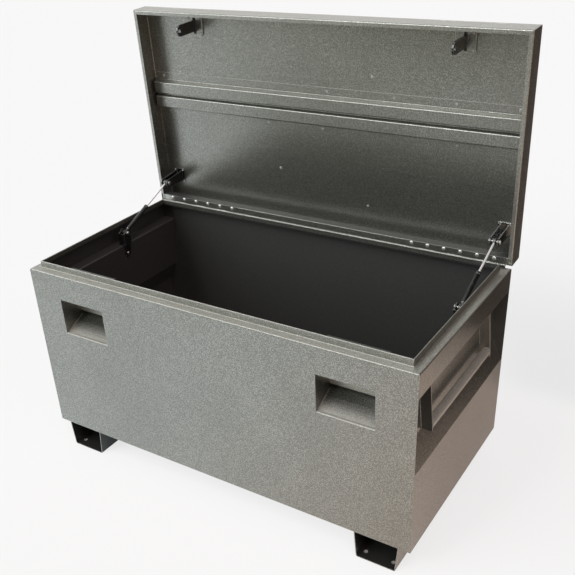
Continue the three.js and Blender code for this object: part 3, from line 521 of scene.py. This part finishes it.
def materials() -> dict[Finish, bpy.types.Material]:
    """Makes the material of each finish once."""
    paint = HammertonePaint().material()
    return {
        Finish.PAINT: paint,
        Finish.INNER: paint,
        Finish.BLACK: BlackEnamel("black_enamel", from_srgb(22, 22, 23)).material(),
        Finish.ZINC: PlatedSteel("zinc_plate", from_srgb(172, 172, 168), 0.34, 0.14).material(),
        Finish.RIVET: PlatedSteel(
            "bright_aluminium", from_srgb(226, 226, 222), 0.42, 0.1, 0.003).material(),
        Finish.CHROME: PlatedSteel(
            "hard_chrome", from_srgb(238, 239, 240), 0.5, 0.05, 0.004).material(),
    }


# Meshes


def merged(node: str) -> Work:
    """A solid's mesh with its doubles merged and its flat faces joined.

    Args:
        node: the solid's name.

    Returns:
        A new mesh to work on.
    """
    work = bmesh.new()
    work.from_mesh(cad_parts[node].data)
    bmesh.ops.remove_doubles(work, verts=work.verts, dist=MERGE_DISTANCE)
    bmesh.ops.dissolve_limit(
        work, angle_limit=math.radians(FLAT_DEG), verts=work.verts, edges=work.edges)
    return work


def frozen(work: Work, name: str) -> bpy.types.Mesh:
    """A plain mesh of what was worked on, which is used up."""
    mesh = bpy.data.meshes.new(name)
    work.to_mesh(mesh)
    work.free()
    return mesh


def skin(work: Work, seed: Face) -> set[Face]:
    """The faces that follow from one face round the bends of a folded sheet.

    Args:
        work: the mesh; not used.
        seed: the first face.

    Returns:
        The faces of that side of the sheet.
    """
    limit = math.radians(BEND_DEG)
    found, waiting = {seed}, [seed]
    while waiting:
        face = waiting.pop()
        for edge in face.edges:
            for other in edge.link_faces:
                if other not in found and face.normal.angle(other.normal, math.pi) < limit:
                    found.add(other)
                    waiting.append(other)
    return found


def largest(work: Work, direction: Vector, below: float = math.inf) -> Face:
    """The largest face that looks in a direction, with its middle below a height."""
    facing = (face for face in work.faces
              if face.normal.dot(direction) > STRAIGHT and face.calc_center_median().z < below)
    return max(facing, key=lambda face: face.calc_area())


def picked(test: Keeper) -> Picker:
    """Makes a picker of faces.

    Args:
        test: says from a face's normal and its middle whether it is wanted.

    Returns:
        The picker.
    """
    def pick(work: Work) -> list[Face]:
        """The wanted faces."""
        return [face for face in work.faces if test(face.normal, face.calc_center_median())]

    return pick


def mark(work: Work, name: str, pick: Picker, share: float) -> None:
    """Keeps a named share on the picked faces, and 0 on those that were never picked.

    Args:
        work: the mesh.
        name: name of the value.
        pick: picks the faces.
        share: their value.
    """
    layer = work.faces.layers.float.get(name) or work.faces.layers.float.new(name)
    for face in pick(work):
        face[layer] = share


def mesh_of(
    name: str, points: Iterable[Sequence[float]], faces: Iterable[Sequence[int]] = ()
) -> bpy.types.Mesh:
    """A mesh of points and faces, or of bare points."""
    mesh = bpy.data.meshes.new(name)
    mesh.from_pydata([tuple(point) for point in points], [], list(faces))
    return mesh


def object_of(mesh: bpy.types.Mesh, name: str) -> Thing:
    """A new object in the scene for a mesh."""
    thing = bpy.data.objects.new(name, mesh)
    bpy.context.scene.collection.objects.link(thing)
    return thing


def baked(thing: Thing) -> Thing:
    """The same object with its modifiers made part of its mesh."""
    depsgraph = bpy.context.evaluated_depsgraph_get()
    mesh = bpy.data.meshes.new_from_object(
        thing.evaluated_get(depsgraph), preserve_all_data_layers=True, depsgraph=depsgraph)
    mesh.name = thing.name
    thing.modifiers.clear()
    thing.data = mesh
    return thing


def landed(node: str, starts: Iterable[Vector]) -> list[Vector]:
    """Where rays to the back first meet a solid.

    Args:
        node: the solid's name.
        starts: where the rays begin.

    Returns:
        The points met, in the same order.
    """
    work = merged(node)
    tree = BVHTree.FromBMesh(work)
    work.free()
    return [tree.ray_cast(start, BACKWARD)[0] for start in starts]


def edge_paths(node: str, keep: Keeper) -> bpy.types.Mesh:
    """Edges of a solid as a mesh of their own.

    Args:
        node: the solid's name.
        keep: says from an edge's two ends whether it is wanted.

    Returns:
        The wanted edges.
    """
    work = merged(node)
    spare = [edge for edge in work.edges if not keep(*(vert.co for vert in edge.verts))]
    bmesh.ops.delete(work, geom=spare, context="EDGES_FACES")
    bmesh.ops.delete(work, geom=list(work.faces), context="FACES_ONLY")
    return frozen(work, f"{node}_path")


def joined(things: Sequence[Thing], name: str) -> Thing:
    """Several objects as one.

    Args:
        things: the objects, which are used up.
        name: name of the new piece.

    Returns:
        The new piece.
    """
    work = bmesh.new()
    for thing in things:
        work.from_mesh(thing.data)
        bpy.data.objects.remove(thing)
    mesh = frozen(work, name)
    mesh.shade_smooth()
    return object_of(mesh, name)


def prism(name: str, first: Sequence[Colour], second: Sequence[Colour]) -> Thing:
    """A closed bar between two outlines.

    Args:
        name: name of the new piece.
        first: corners of one end in order.
        second: corners of the other end, in the same order.

    Returns:
        The bar, with its normals outwards.
    """
    count = len(first)
    faces = [(i, (i + 1) % count, count + (i + 1) % count, count + i) for i in range(count)]
    faces += [tuple(range(count)), tuple(range(2 * count - 1, count - 1, -1))]
    mesh = mesh_of(name, [*first, *second], faces)
    work = bmesh.new()
    work.from_mesh(mesh)
    bmesh.ops.recalc_face_normals(work, faces=work.faces)
    work.to_mesh(mesh)
    work.free()
    return object_of(mesh, name)


@dataclass(frozen=True)
class EdgeBreak:
    """How the cut edges of a piece are broken and its bends are smoothed, and how much painted
    highlight it gets.
    """

    width: float = 0.0005
    film: float = 0.0
    segments: int = 2
    evenness: int = 60

    def apply(self, thing: Thing) -> Thing:
        """Bevels the sharp edges, smooths the rest and bakes the result.

        The new faces get the full painted highlight, the others at least the piece's own share of
        it, and nothing leaves the box that the piece had before.

        Args:
            thing: the object to finish.

        Returns:
            The same object.
        """
        thing.data.shade_smooth()
        low, high = (Vector(pick(vert.co[axis] for vert in thing.data.vertices)
                            for axis in range(3)) for pick in (min, max))
        bevel = thing.modifiers.new("edge break", "BEVEL")
        bevel.limit_method = "ANGLE"
        bevel.angle_limit = math.radians(BEND_DEG)
        bevel.width = self.width
        bevel.segments = self.segments
        bevel.use_clamp_overlap = True
        bevel.material = 1
        weighted = thing.modifiers.new("even light", "WEIGHTED_NORMAL")
        weighted.weight = self.evenness
        weighted.keep_sharp = False
        thing.data.materials.clear()
        for _ in range(2):
            thing.data.materials.append(None)
        mesh = baked(thing).data
        # Painted highlight: the bevel's new faces get all of it.
        rim = mesh.attributes.get("rim") or mesh.attributes.new("rim", "FLOAT", "FACE")
        for face, share in zip(mesh.polygons, rim.data):
            share.value = 1.0 if face.material_index == 1 else max(share.value, self.film)
            face.material_index = 0
        for vert in mesh.vertices:
            vert.co = [min(max(vert.co[axis], low[axis]), high[axis]) for axis in range(3)]
        return thing


class Workshop:
    """Dresses solids and attaches finished pieces to their bodies."""

    def __init__(self) -> None:
        """Makes the materials."""
        self.finishes = materials()

    def dress(
        self,
        node: str,
        body: str,
        finish: Finish,
        inside: Picker | None = None,
        edge: EdgeBreak = EdgeBreak(),
        highlighted: Sequence[tuple[Picker, float]] = (),
        shape: Shaper | None = None,
    ) -> Thing:
        """Replaces a solid by a copy with broken edges, even light and a finish.

        Args:
            node: the solid's name.
            body: the body it rides on.
            finish: its finish.
            inside: picks the faces with painted shade on paint, or with the second colour of black
                or plated pieces.
            edge: how its edges are broken.
            highlighted: pickers of the faces with a painted highlight, each with its share.
            shape: trims the copy before it is finished.

        Returns:
            The finished piece.
        """
        work = merged(node)
        if shape is not None:
            shape(work)
        if inside is not None:
            mark(work, "inside", inside, 1.0)
        for pick, share in highlighted:
            mark(work, "rim", pick, share)
        name = f"dressed_{node}"
        return self.deliver(edge.apply(object_of(frozen(work, name), name)), body, finish, [node])

    def painted(self, body: str) -> Callable[..., Thing]:
        """The dressing of pieces that ride on one body and are painted unless it is told so."""
        def dress(node: str, *rest: Any, finish: Finish = Finish.PAINT, **more: Any) -> Thing:
            """Dresses one piece."""
            return self.dress(node, body, finish, *rest, **more)

        return dress

    def weld(self, board: PatternBoard, nodes: Sequence[str], keep: Keeper, bead: Pair,
             name: str, body: str, finish: Finish) -> None:
        """Lays weld ripples along the edges of solids.

        Args:
            board: the tree that makes the ripples.
            nodes: the solids.
            keep: says from an edge's two ends whether it is welded.
            bead: width and pitch of the ripples.
            name: name of the new piece.
            body: the body it rides on.
            finish: its finish.
        """
        sizes = {"Width": bead[0], "Pitch": bead[1], "Finish": self.finishes[finish]}
        runs = [board.bake(edge_paths(node, keep), f"{node}_bead", sizes) for node in nodes]
        self.deliver(joined(runs, name), body, finish)

    def deliver(self, thing: Thing, body: str, finish: Finish, nodes: Sequence[str] = ()) -> Thing:
        """Gives a piece its material and its body, and hides the solids it stands for.

        Args:
            thing: the piece, in place and with no modifiers.
            body: the body it rides on.
            finish: its finish.
            nodes: the solids it replaces.

        Returns:
            The same piece.
        """
        thing.data.materials.clear()
        thing.data.materials.append(self.finishes[finish])
        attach(thing, body)
        if nodes:
            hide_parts(*nodes)
        LOG.info("%s on %s: %d faces", thing.name, body, len(thing.data.polygons))
        return thing


# The box


@dataclass
class Tub:
    """The tub with its padlock wells, end handles, skids and strut brackets."""

    workshop: Workshop
    window: Pair = (0.3442, 0.5038)
    front_face: float = -0.33478
    floor_drop: float = 0.0017
    sill_radius: float = 0.0025
    sill_level: float = 0.4300
    sill_depth: float = 0.008
    sill_step_deg: int = 15
    well_floor_deg: float = 25.5
    well_back: float = -0.2640
    well_ramp_top: float = 0.47
    well_step: float = 0.4755
    lip_highlight: float = 0.5
    well_highlights: tuple[Pair, ...] = (
        (-0.4, 0.85), (-0.317, 0.7), (-0.309, 0.5), (-0.301, 0.3), (-0.293, 0.15), (-0.285, 0.0))
    wall_top: float = 0.5
    ledge_level: float = 0.6000
    fold_front: float = 0.012
    fold_width: float = 0.0016
    fold_sink: float = 0.001
    bead: Pair = (0.003, 0.0022)
    bead_start: float = 0.01
    gusset_reach: float = 0.5945
    gusset_foot: float = 0.3965
    grip_face: float = 0.6076
    grip_gain: float = 1.2

    def inner_skin(self, direction: Vector) -> Picker:
        """Picks the inner side of a wall, which looks in a direction, for painted shade."""
        return lambda work: skin(work, largest(work, direction, self.wall_top))

    def channel_skin(self, work: Work) -> set[Face]:
        """The inner side of a skid's channel and the side that looks to the other skid, for painted
        shade.
        """
        shaded = picked(lambda normal, middle: normal.x * middle.x < -0.3)(work)
        return skin(work, largest(work, Vector((0, 0, 1)))) | set(shaded)

    def well_skin(self, work: Work) -> list[Face]:
        """The faces of a padlock well that look away from its own middle, for painted shade."""
        corners = [vert.co for vert in work.verts]
        centre = sum(corners, Vector()) / len(corners)
        centre.y = min(corner.y for corner in corners)
        return picked(lambda normal, middle:
                      normal.dot(middle - centre) > 0 and normal.y > -TURNED)(work)

    def slice_well(self, work: Work) -> None:
        """Cuts a padlock well across, so that its painted highlight can fade out towards the back.
        """
        for y, _ in self.well_highlights[1:]:
            bmesh.ops.bisect_plane(work, geom=[*work.verts, *work.edges, *work.faces], dist=1e-6,
                                   plane_co=(0.0, y, 0.0), plane_no=BACKWARD)

    def well_bands(self) -> list[tuple[Picker, float]]:
        """Painted highlight on a padlock well: fading out towards the back of its floor, even on
        its lip.

        Returns:
            A picker and a share for the lip above the step and for each band of the floor.
        """
        def band(start: float) -> Picker:
            """The floor's faces behind a line."""
            return picked(lambda normal, middle: normal.z > TURNED
                          and middle.z < self.well_ramp_top and middle.y > start)

        lip = picked(lambda normal, middle: normal.y < -STRAIGHT and middle.z > self.well_step)
        return [(lip, self.lip_highlight)] + [(band(y), share) for y, share in self.well_highlights]

    def floor_height(self, y: float) -> float:
        """Height of a well's sloping floor."""
        rise = (y - self.front_face - self.floor_drop) * math.tan(math.radians(self.well_floor_deg))
        return self.sill_level + rise

    def sill(self, side: str, sign: float) -> None:
        """Folds the foot of a window over into the well's floor, with a painted highlight all over
        it.

        Args:
            side: name of the side.
            sign: 1 to the right, -1 to the left.
        """
        centre = self.front_face + self.sill_radius
        turns = (math.radians(180 - self.sill_step_deg * step) for step in range(7))
        profile = [(centre + self.sill_radius * math.cos(turn),
                    self.sill_level + self.sill_radius * math.sin(turn)) for turn in turns]
        back = self.front_face + self.sill_depth
        profile += [(back, self.floor_height(back)), (back, self.sill_level)]
        ends = ([(x, y, z) for y, z in profile] for x in sorted(sign * x for x in self.window))
        thing = EdgeBreak(0.0002, 1.0).apply(prism(f"{side}_window_sill", *ends))
        self.workshop.deliver(thing, "tub", Finish.PAINT)

    def cheek_fold(self, side: str, sign: float) -> None:
        """Shows the cut edge of a well's floor against its left cheek, as a strip with a painted
        highlight all over it.

        Args:
            side: name of the side.
            sign: 1 to the right, -1 to the left.
        """
        x, width, foot = min(sign * x for x in self.window), self.fold_width, -self.fold_sink
        corners = ((0.0, foot), (width, foot), (width, width), (0.0, width))
        ends = ([(x + dx, y, self.floor_height(y) + dz) for dx, dz in corners]
                for y in (self.front_face + self.fold_front, self.well_back))
        thing = EdgeBreak(0.0003, 1.0).apply(prism(f"{side}_well_fold", *ends))
        self.workshop.deliver(thing, "tub", Finish.PAINT)

    def trim_toe(self, work: Work) -> None:
        """Ends a gusset level with the foot of the grip."""
        for vert in work.verts:
            vert.co.z = max(vert.co.z, self.gusset_foot)

    def widen_grip(self, work: Work) -> None:
        """Deepens a grip towards the end wall, away from its outer face."""
        for vert in work.verts:
            gap = self.grip_face - abs(vert.co.x)
            vert.co.x = math.copysign(self.grip_face - gap * self.grip_gain, vert.co.x)

    def gusset_beads(self, side: str, board: PatternBoard) -> None:
        """Welds both gussets of an end into its recess.

        Args:
            side: name of the side.
            board: the tree that makes the ripples.
        """
        def keep(first: Vector, second: Vector) -> bool:
            """Edges on the inner side of the gusset that don't cross its thickness."""
            return (max(abs(first.x), abs(second.x)) < self.gusset_reach
                    and abs(first.y - second.y) < LEVEL
                    and max(first.z, second.z) > self.gusset_foot + self.bead_start)

        nodes = [f"{side}_{end}_gusset" for end in ("front", "rear")]
        self.workshop.weld(board, nodes, keep, self.bead, f"{side}_gusset_welds", "tub",
                           Finish.PAINT)

    def build(self, beads: PatternBoard) -> None:
        """Dresses every piece of the tub, with the tree that makes weld ripples."""
        dress = self.workshop.painted("tub")
        # Painted highlight on the tub's ledges and on the end panels' risers.
        ledge = picked(lambda normal, middle: middle.z > self.ledge_level and normal.z > TURNED)
        riser = picked(lambda normal, middle:
                       middle.z > self.ledge_level and normal.x * middle.x > TURNED)
        # Painted shade on the inner faces of the walls, floor, wells and skids.
        dress("front_panel", self.inner_skin(BACKWARD), EdgeBreak(0.0008), [(ledge, 0.6)])
        dress("rear_panel", self.inner_skin(-BACKWARD))
        dress("floor_panel", picked(lambda normal, middle: normal.z > -TURNED),
              finish=Finish.INNER)
        for side, sign in SIDES:
            dress(f"{side}_end_panel", self.inner_skin(Vector((-sign, 0, 0))),
                  highlighted=[(ledge, 0.5), (riser, 0.15)])
            dress(f"{side}_lock_well", self.well_skin, EdgeBreak(0.0009),
                  self.well_bands(), self.slice_well)
            dress(f"{side}_skid", self.channel_skin)
            # Painted shade on the front faces of the front gussets.
            dress(f"{side}_front_gusset", picked(lambda normal, middle: normal.y < -STRAIGHT),
                  shape=self.trim_toe)
            dress(f"{side}_rear_gusset", edge=EdgeBreak(0.001), shape=self.trim_toe)
            # Painted highlight on the whole grip.
            dress(f"{side}_grip", edge=EdgeBreak(film=1.0), shape=self.widen_grip)
            dress(f"{side}_tub_leaf")
            dress(f"{side}_strut_mount", finish=Finish.BLACK)
            for part in ("hinge_pin", "foot_bolt", "tab_bolt"):
                dress(f"{side}_{part}", finish=Finish.ZINC)
            self.sill(side, sign)
            self.cheek_fold(side, sign)
            self.gusset_beads(side, beads)


@dataclass
class Lid:
    """The pan lid with its rail, stiffener, lock tongues and clevises."""

    workshop: Workshop
    inward: Vector = Vector((0.0, -0.99897, -0.04536)).freeze()
    rivets_per_leaf: int = 6
    rivet_head: Pair = (0.0058, 0.0026)
    rivet_tail: Pair = (0.0037, 0.0014)
    screw: Pair = (0.0036, 0.002)
    small_screw: Pair = (0.0027, 0.0016)
    spot: Pair = (0.0042, 0.0008)
    spot_highlight: float = 0.85
    flange_spots: tuple[tuple[float, tuple[float, ...]], ...] = (
        (1.0315, (-0.572, 0.021, 0.229, 0.408, 0.577)), (0.9210, (-0.564, -0.184, 0.003, 0.414)))
    panel_spots: tuple[Pair, ...] = ((-0.153, 0.781), (0.147, 0.704), (0.163, 1.082))
    tongue_plate: Pair = (0.424, 1.1889)
    tongue_corner: Pair = (0.0205, 0.0205)
    clevis_plate: Pair = (0.56305, 0.7018)
    clevis_corner: Pair = (0.0160, 0.0180)
    clevis_foot: float = 0.3255
    brim_depth: float = 0.002
    brow_level: float = 1.2
    root_level: float = 0.3012
    bead: Pair = (0.004, 0.0022)

    def fasten(self, board: PatternBoard, name: str, places: Sequence[Vector], pair: Pair,
            finish: Finish, facing: float = 1.0) -> Thing:
        """Sets a fastener on each point.

        Args:
            board: the tree that makes it.
            name: name of the new piece.
            places: the points.
            pair: its radius and height.
            finish: its finish.
            facing: 1 if it looks into the lid, -1 if out of it.

        Returns:
            The piece.
        """
        sizes = {"Radius": pair[0], "Height": pair[1], "Facing": tuple(self.inward * facing),
                 "Finish": self.workshop.finishes[finish]}
        return board.bake(mesh_of(name, places), name, sizes)

    def rivets(self, board: PatternBoard) -> None:
        """Sets the domed rivets of both hinge leaves, heads inside and tails behind."""
        nodes = [f"{side}_hinge_rivet_{number}" for side, _ in SIDES
                 for number in range(1, self.rivets_per_leaf + 1)]
        heads, tails = [], []
        for node in nodes:
            work = merged(node)
            middle = sum((vert.co for vert in work.verts), Vector()) / len(work.verts)
            heights = [(vert.co - middle).dot(self.inward) for vert in work.verts]
            work.free()
            heads.append(middle + self.inward * (max(heights) - self.rivet_head[1]))
            tails.append(middle + self.inward * (min(heights) + self.rivet_tail[1]))
        rows = [self.fasten(board, "heads", heads, self.rivet_head, Finish.RIVET),
                self.fasten(board, "tails", tails, self.rivet_tail, Finish.RIVET, -1.0)]
        self.workshop.deliver(joined(rows, "hinge_rivets"), "lid", Finish.RIVET, nodes)

    def screws(self, board: PatternBoard) -> None:
        """Sets a button screw at each corner of the tongue plates and the clevis plates."""
        kinds = (("tongue_plate", self.tongue_plate, self.tongue_corner, self.screw),
                 ("lid_clevis", self.clevis_plate, self.clevis_corner, self.small_screw))
        for part, (x, z), (dx, dz), pair in kinds:
            rows = []
            for side, sign in SIDES:
                starts = [Vector((sign * (x + a * dx), 0.0, z + b * dz))
                          for a in (-1, 1) for b in (-1, 1)]
                places = landed(f"{side}_{part}", starts)
                rows.append(self.fasten(board, part, places, pair, Finish.ZINC))
            self.workshop.deliver(joined(rows, f"{part}_screws"), "lid", Finish.ZINC)

    def spots(self, board: PatternBoard) -> None:
        """Dots the stiffener's flanges and the panel with weld dimples that carry a painted
        highlight.
        """
        flange = [Vector((x, 0.0, z)) for z, row in self.flange_spots for x in row]
        panel = [Vector((x, 0.0, z)) for x, z in self.panel_spots]
        places = landed("lid_stiffener", flange) + landed("lid_top", panel)
        row = self.fasten(board, "spots", places, self.spot, Finish.PAINT)
        thing = joined([row], "weld_spots")
        rim = thing.data.attributes.new("rim", "FLOAT", "FACE")
        rim.data.foreach_set("value", [self.spot_highlight] * len(thing.data.polygons))
        self.workshop.deliver(thing, "lid", Finish.PAINT)

    def brim(self, work: Work) -> list[Face]:
        """The flange at the lid's edge, which looks into the tub when the lid is shut, for a
        painted highlight.
        """
        facing = picked(lambda normal, middle: normal.dot(self.inward) > STRAIGHT)(work)
        levels = [face.calc_center_median().dot(self.inward) for face in facing]
        return [face for face, level in zip(facing, levels)
                if level > max(levels) - self.brim_depth]

    def plated_foot(self, work: Work) -> list[Face]:
        """The faces of a clevis's plated foot."""
        return [face for face in work.faces
                if min(vert.co.y for vert in face.verts) > self.clevis_foot]

    def tongue_beads(self, board: PatternBoard) -> None:
        """Welds both tongues to their plates."""
        def keep(first: Vector, second: Vector) -> bool:
            """Edges of the tongue's root."""
            return min(first.y, second.y) > self.root_level and abs(first.x - second.x) < LEVEL

        nodes = [f"{side}_lock_tongue" for side, _ in SIDES]
        self.workshop.weld(board, nodes, keep, self.bead, "tongue_welds", "lid", Finish.BLACK)

    def build(self, beads: PatternBoard) -> None:
        """Dresses every piece of the lid, with the tree that makes weld ripples."""
        dress = self.workshop.painted("lid")
        # Painted highlight on the lid's edge flange and on the top of its front wall.
        brow = picked(lambda normal, middle: normal.z > STRAIGHT and middle.z > self.brow_level)
        dress("lid_top", highlighted=[(self.brim, 0.25), (brow, 0.9)])
        dress("lid_stiffener")
        # Painted shade on the hinge rail's upward faces.
        dress("hinge_rail", picked(lambda normal, middle: normal.z > TURNED))
        for side, _ in SIDES:
            dress(f"{side}_lid_end", highlighted=[(self.brim, 0.3)])
            dress(f"{side}_tongue_plate", edge=EdgeBreak(0.0016))
            dress(f"{side}_lock_tongue", edge=EdgeBreak(0.0016), finish=Finish.BLACK)
            dress(f"{side}_lid_leaf", finish=Finish.ZINC)
            dress(f"{side}_lid_clevis", self.plated_foot, EdgeBreak(0.0008), finish=Finish.BLACK)
            for part in ("outer_clevis_pin", "inner_clevis_pin"):
                dress(f"{side}_{part}", finish=Finish.ZINC)
        self.rivets(rivet_heads())
        self.screws(socket_screws())
        self.spots(weld_spots())
        self.tongue_beads(beads)


@dataclass
class GasStruts:
    """The two gas struts."""

    workshop: Workshop
    foot: Pair = (0.0249, 0.605)
    along: Pair = (0.92493, 0.38014)
    eye_start: float = 0.2355
    tube: Pair = (0.0125, 0.2)
    tube_share: float = 0.86
    shaft: Pair = (0.0, 0.2385)
    shaft_share: float = 0.76

    def reach(self, spot: Vector) -> float:
        """Distance from the foot along the strut."""
        return (spot.y - self.foot[0]) * self.along[0] + (spot.z - self.foot[1]) * self.along[1]

    def slim(self, span: Pair, share: float) -> Shaper:
        """Makes the shape step that slims a strut around its own axis.

        Args:
            span: where it starts and ends along the strut.
            share: what is left of the radius.

        Returns:
            The step.
        """
        def shape(work: Work) -> None:
            """Moves the round's points towards the axis."""
            across = [vert.co.x for vert in work.verts]
            middle = (min(across) + max(across)) / 2
            for vert in work.verts:
                reach = self.reach(vert.co)
                if span[0] < reach < span[1]:
                    y, z = (start + reach * step for start, step in zip(self.foot, self.along))
                    axis = Vector((middle, y, z))
                    vert.co = axis + (vert.co - axis) * share

        return shape

    def build(self) -> None:
        """Dresses both struts."""
        tube, shaft = self.slim(self.tube, self.tube_share), self.slim(self.shaft, self.shaft_share)
        eye = picked(lambda normal, middle: self.reach(middle) > self.eye_start)
        for side, _ in SIDES:
            for part in ("strut_cylinder", "strut_gland"):
                self.workshop.dress(f"{side}_{part}", f"{side}_cylinder", Finish.BLACK, shape=tube)
            # Painted highlight on the whole rod; its eye keeps the cast colour.
            self.workshop.dress(f"{side}_strut_rod", f"{side}_rod", Finish.CHROME, eye,
                                EdgeBreak(film=1.0), shape=shaft)


# The studio


ROUND = ((-1, -1), (1, -1), (1, 1), (-1, 1))


def sheet(name: str, corners: Sequence[Sequence[float]]) -> Thing:
    """A sheet with four corners."""
    return object_of(mesh_of(name, corners, [(0, 1, 2, 3)]), name)


@dataclass(frozen=True)
class Lamp:
    """A broad lamp far away."""

    name: str
    power: float
    tint: Colour
    place: tuple[float, float, float]
    spread_deg: float

    def hang(self) -> None:
        """Adds it to the scene."""
        data = bpy.data.lights.new(self.name, "SUN")
        data.energy = self.power
        data.color = self.tint
        data.angle = math.radians(self.spread_deg)
        thing = bpy.data.objects.new(self.name, data)
        thing.matrix_world = Vector(self.place).to_track_quat("Z", "Y").to_matrix().to_4x4()
        bpy.context.scene.collection.objects.link(thing)


@dataclass(frozen=True)
class Card:
    """An upright card that stands across Y and that only the box itself sees."""

    name: str
    tone: Colour
    place: float
    across: Pair
    upright: Pair
    shadow: bool = False

    def stand(self) -> None:
        """Adds it to the scene."""
        thing = sheet(self.name, [(self.across[x > 0], self.place, self.upright[y > 0])
                                  for x, y in ROUND])
        thing.visible_camera = False
        thing.visible_shadow = self.shadow
        thing.data.materials.append(SurfaceBoard(f"{self.name}_cloth").glowing(NIGHT, self.tone))


@dataclass
class Studio:
    """Pale floor, soft light, white surround and the camera."""

    eye: tuple[float, float, float] = (1.1873, -1.75477, 1.5893)
    azimuth_deg: float = 34.37
    elevation_deg: float = 30.79
    roll_deg: float = -3.30
    lens: float = 51.167
    sensor: float = 36.0
    shift: Pair = (0.0313, 0.114)
    surround: float = 0.45
    dim_side: float = 0.15
    floor_half: float = 40.0
    floor_tone: float = 0.8
    floor_glow: float = 0.74
    floor_mirrored: Colour = (0.42, 0.41, 0.4)
    mirror_glow: float = 0.45
    mirror_far: float = 0.45
    cool_floor: Colour = (0.87, 0.95, 1.0)
    warm_floor: Colour = (0.82, 0.67, 0.57)
    skid_inner: Pair = (0.2088, 0.2100)
    skid_outer: Pair = (0.3205, 0.3215)
    skid_front: Pair = (-0.3300, -0.3280)
    skid_rear: Pair = (0.2680, 0.2700)
    skid_shade: float = 0.08
    cards: tuple[Card, ...] = (
        Card("dark_card", (0.04, 0.029, 0.023), 0.55, (0.64, 3.2), (0.24, 2.4), True),
        Card("left_card", (0.50, 0.50, 0.41), -2.0, (-2.0, -0.6), (0.0, 1.5)),
        Card("right_card", (0.33, 0.31, 0.25), -2.0, (-0.6, 2.6), (0.22, 1.5)),
    )
    lamps: tuple[Lamp, ...] = (
        Lamp("top", 0.9, (1.0, 0.83, 0.82), (0.33, -0.4, 0.85), 22.0),
        Lamp("key", 2.1, (0.93, 0.98, 1.0), (-0.5, -0.72, 0.48), 50.0),
        Lamp("spark", 0.35, (1.0, 1.0, 1.0), (-0.25, -0.75, 0.75), 9.0),
        Lamp("fill", 0.45, (1.0, 0.78, 0.72), (0.85, -0.15, 0.5), 40.0),
    )

    def build(self) -> None:
        """Sets up the whole studio."""
        self.camera()
        self.world()
        self.floor()
        for card in self.cards:
            card.stand()
        for lamp in self.lamps:
            lamp.hang()
        bpy.context.scene.view_settings.view_transform = "Standard"

    def camera(self) -> None:
        """Places the camera where the picture was taken."""
        data = bpy.data.cameras.new("camera")
        data.sensor_width = self.sensor
        data.lens = self.lens
        data.shift_x, data.shift_y = self.shift
        turn, lift, roll = (
            math.radians(angle) for angle in (self.azimuth_deg, self.elevation_deg, self.roll_deg))
        back = Vector((math.sin(turn) * math.cos(lift), -math.cos(turn) * math.cos(lift),
                       math.sin(lift)))
        right = Vector((math.cos(turn), math.sin(turn), 0.0))
        up = back.cross(right)
        across = right * math.cos(roll) + up * math.sin(roll)
        upright = up * math.cos(roll) - right * math.sin(roll)
        pose = Matrix((across, upright, back)).transposed().to_4x4()
        pose.translation = Vector(self.eye)
        thing = bpy.data.objects.new("camera", data)
        thing.matrix_world = pose
        bpy.context.scene.collection.objects.link(thing)
        bpy.context.scene.camera = thing

    def world(self) -> None:
        """White to the eye, softer as light, and dimmer on the right."""
        world = bpy.data.worlds.new("surround")
        world.use_nodes = True
        board = Board(world.node_tree)
        background = world.node_tree.nodes["Background"]
        background.inputs["Color"].default_value = (1.0, 1.0, 1.0, 1.0)
        side = board.part(board.add("ShaderNodeTexCoord", output="Generated"), "X")
        soft = side.ramp(-0.3, 0.6, 1.0, self.dim_side) * self.surround
        shown = board.rays("Is Camera Ray", "Is Glossy Ray", "Is Transmission Ray")
        board.feed(background.inputs["Strength"], shown * (1.0 - soft) + soft)
        bpy.context.scene.world = world

    def floor(self) -> None:
        """A white floor that throws less light back than it shows, with a painted shadow beneath
        the skids.
        """
        thing = sheet("floor", [(x * self.floor_half, y * self.floor_half, 0) for x, y in ROUND])
        board = SurfaceBoard("pale_floor")
        eye = board.rays("Is Camera Ray")
        mirrored = board.rays("Is Glossy Ray", "Is Transmission Ray")
        across, along = (board.part(board.place, axis) for axis in "XY")
        away = along.ramp(-0.4, 0.6, 1.0, self.mirror_far)
        pale = board.mix(across.ramp(-0.5, 1.2), self.cool_floor, self.warm_floor)
        spread = across * across
        # Painted shadow on the floor beneath the skids.
        skid_shadow = (spread.ramp(*self.skid_inner) * spread.ramp(*self.skid_outer, 1.0, 0.0)
                 * along.ramp(*self.skid_front) * along.ramp(*self.skid_rear, 1.0, 0.0))
        shown = board.mix(skid_shadow, grey(self.floor_glow), grey(self.floor_glow * self.skid_shade))
        lit = grey(self.floor_tone * (1.0 - self.floor_glow))
        glow = board.mix(mirrored, NIGHT, board.mix(away * self.mirror_glow, NIGHT, pale))
        base = board.mix(eye, board.mix(mirrored, self.floor_mirrored, pale), lit)
        thing.data.materials.append(board.glowing(base, board.mix(eye, glow, shown)))


def main() -> None:
    """Builds the box and its studio in order."""
    logging.basicConfig(level=logging.INFO, format="%(name)s: %(message)s")
    workshop = Workshop()
    beads = weld_beads()
    Tub(workshop).build(beads)
    Lid(workshop).build(beads)
    GasStruts(workshop).build()
    Studio().build()


if __name__ == "__main__":
    main()
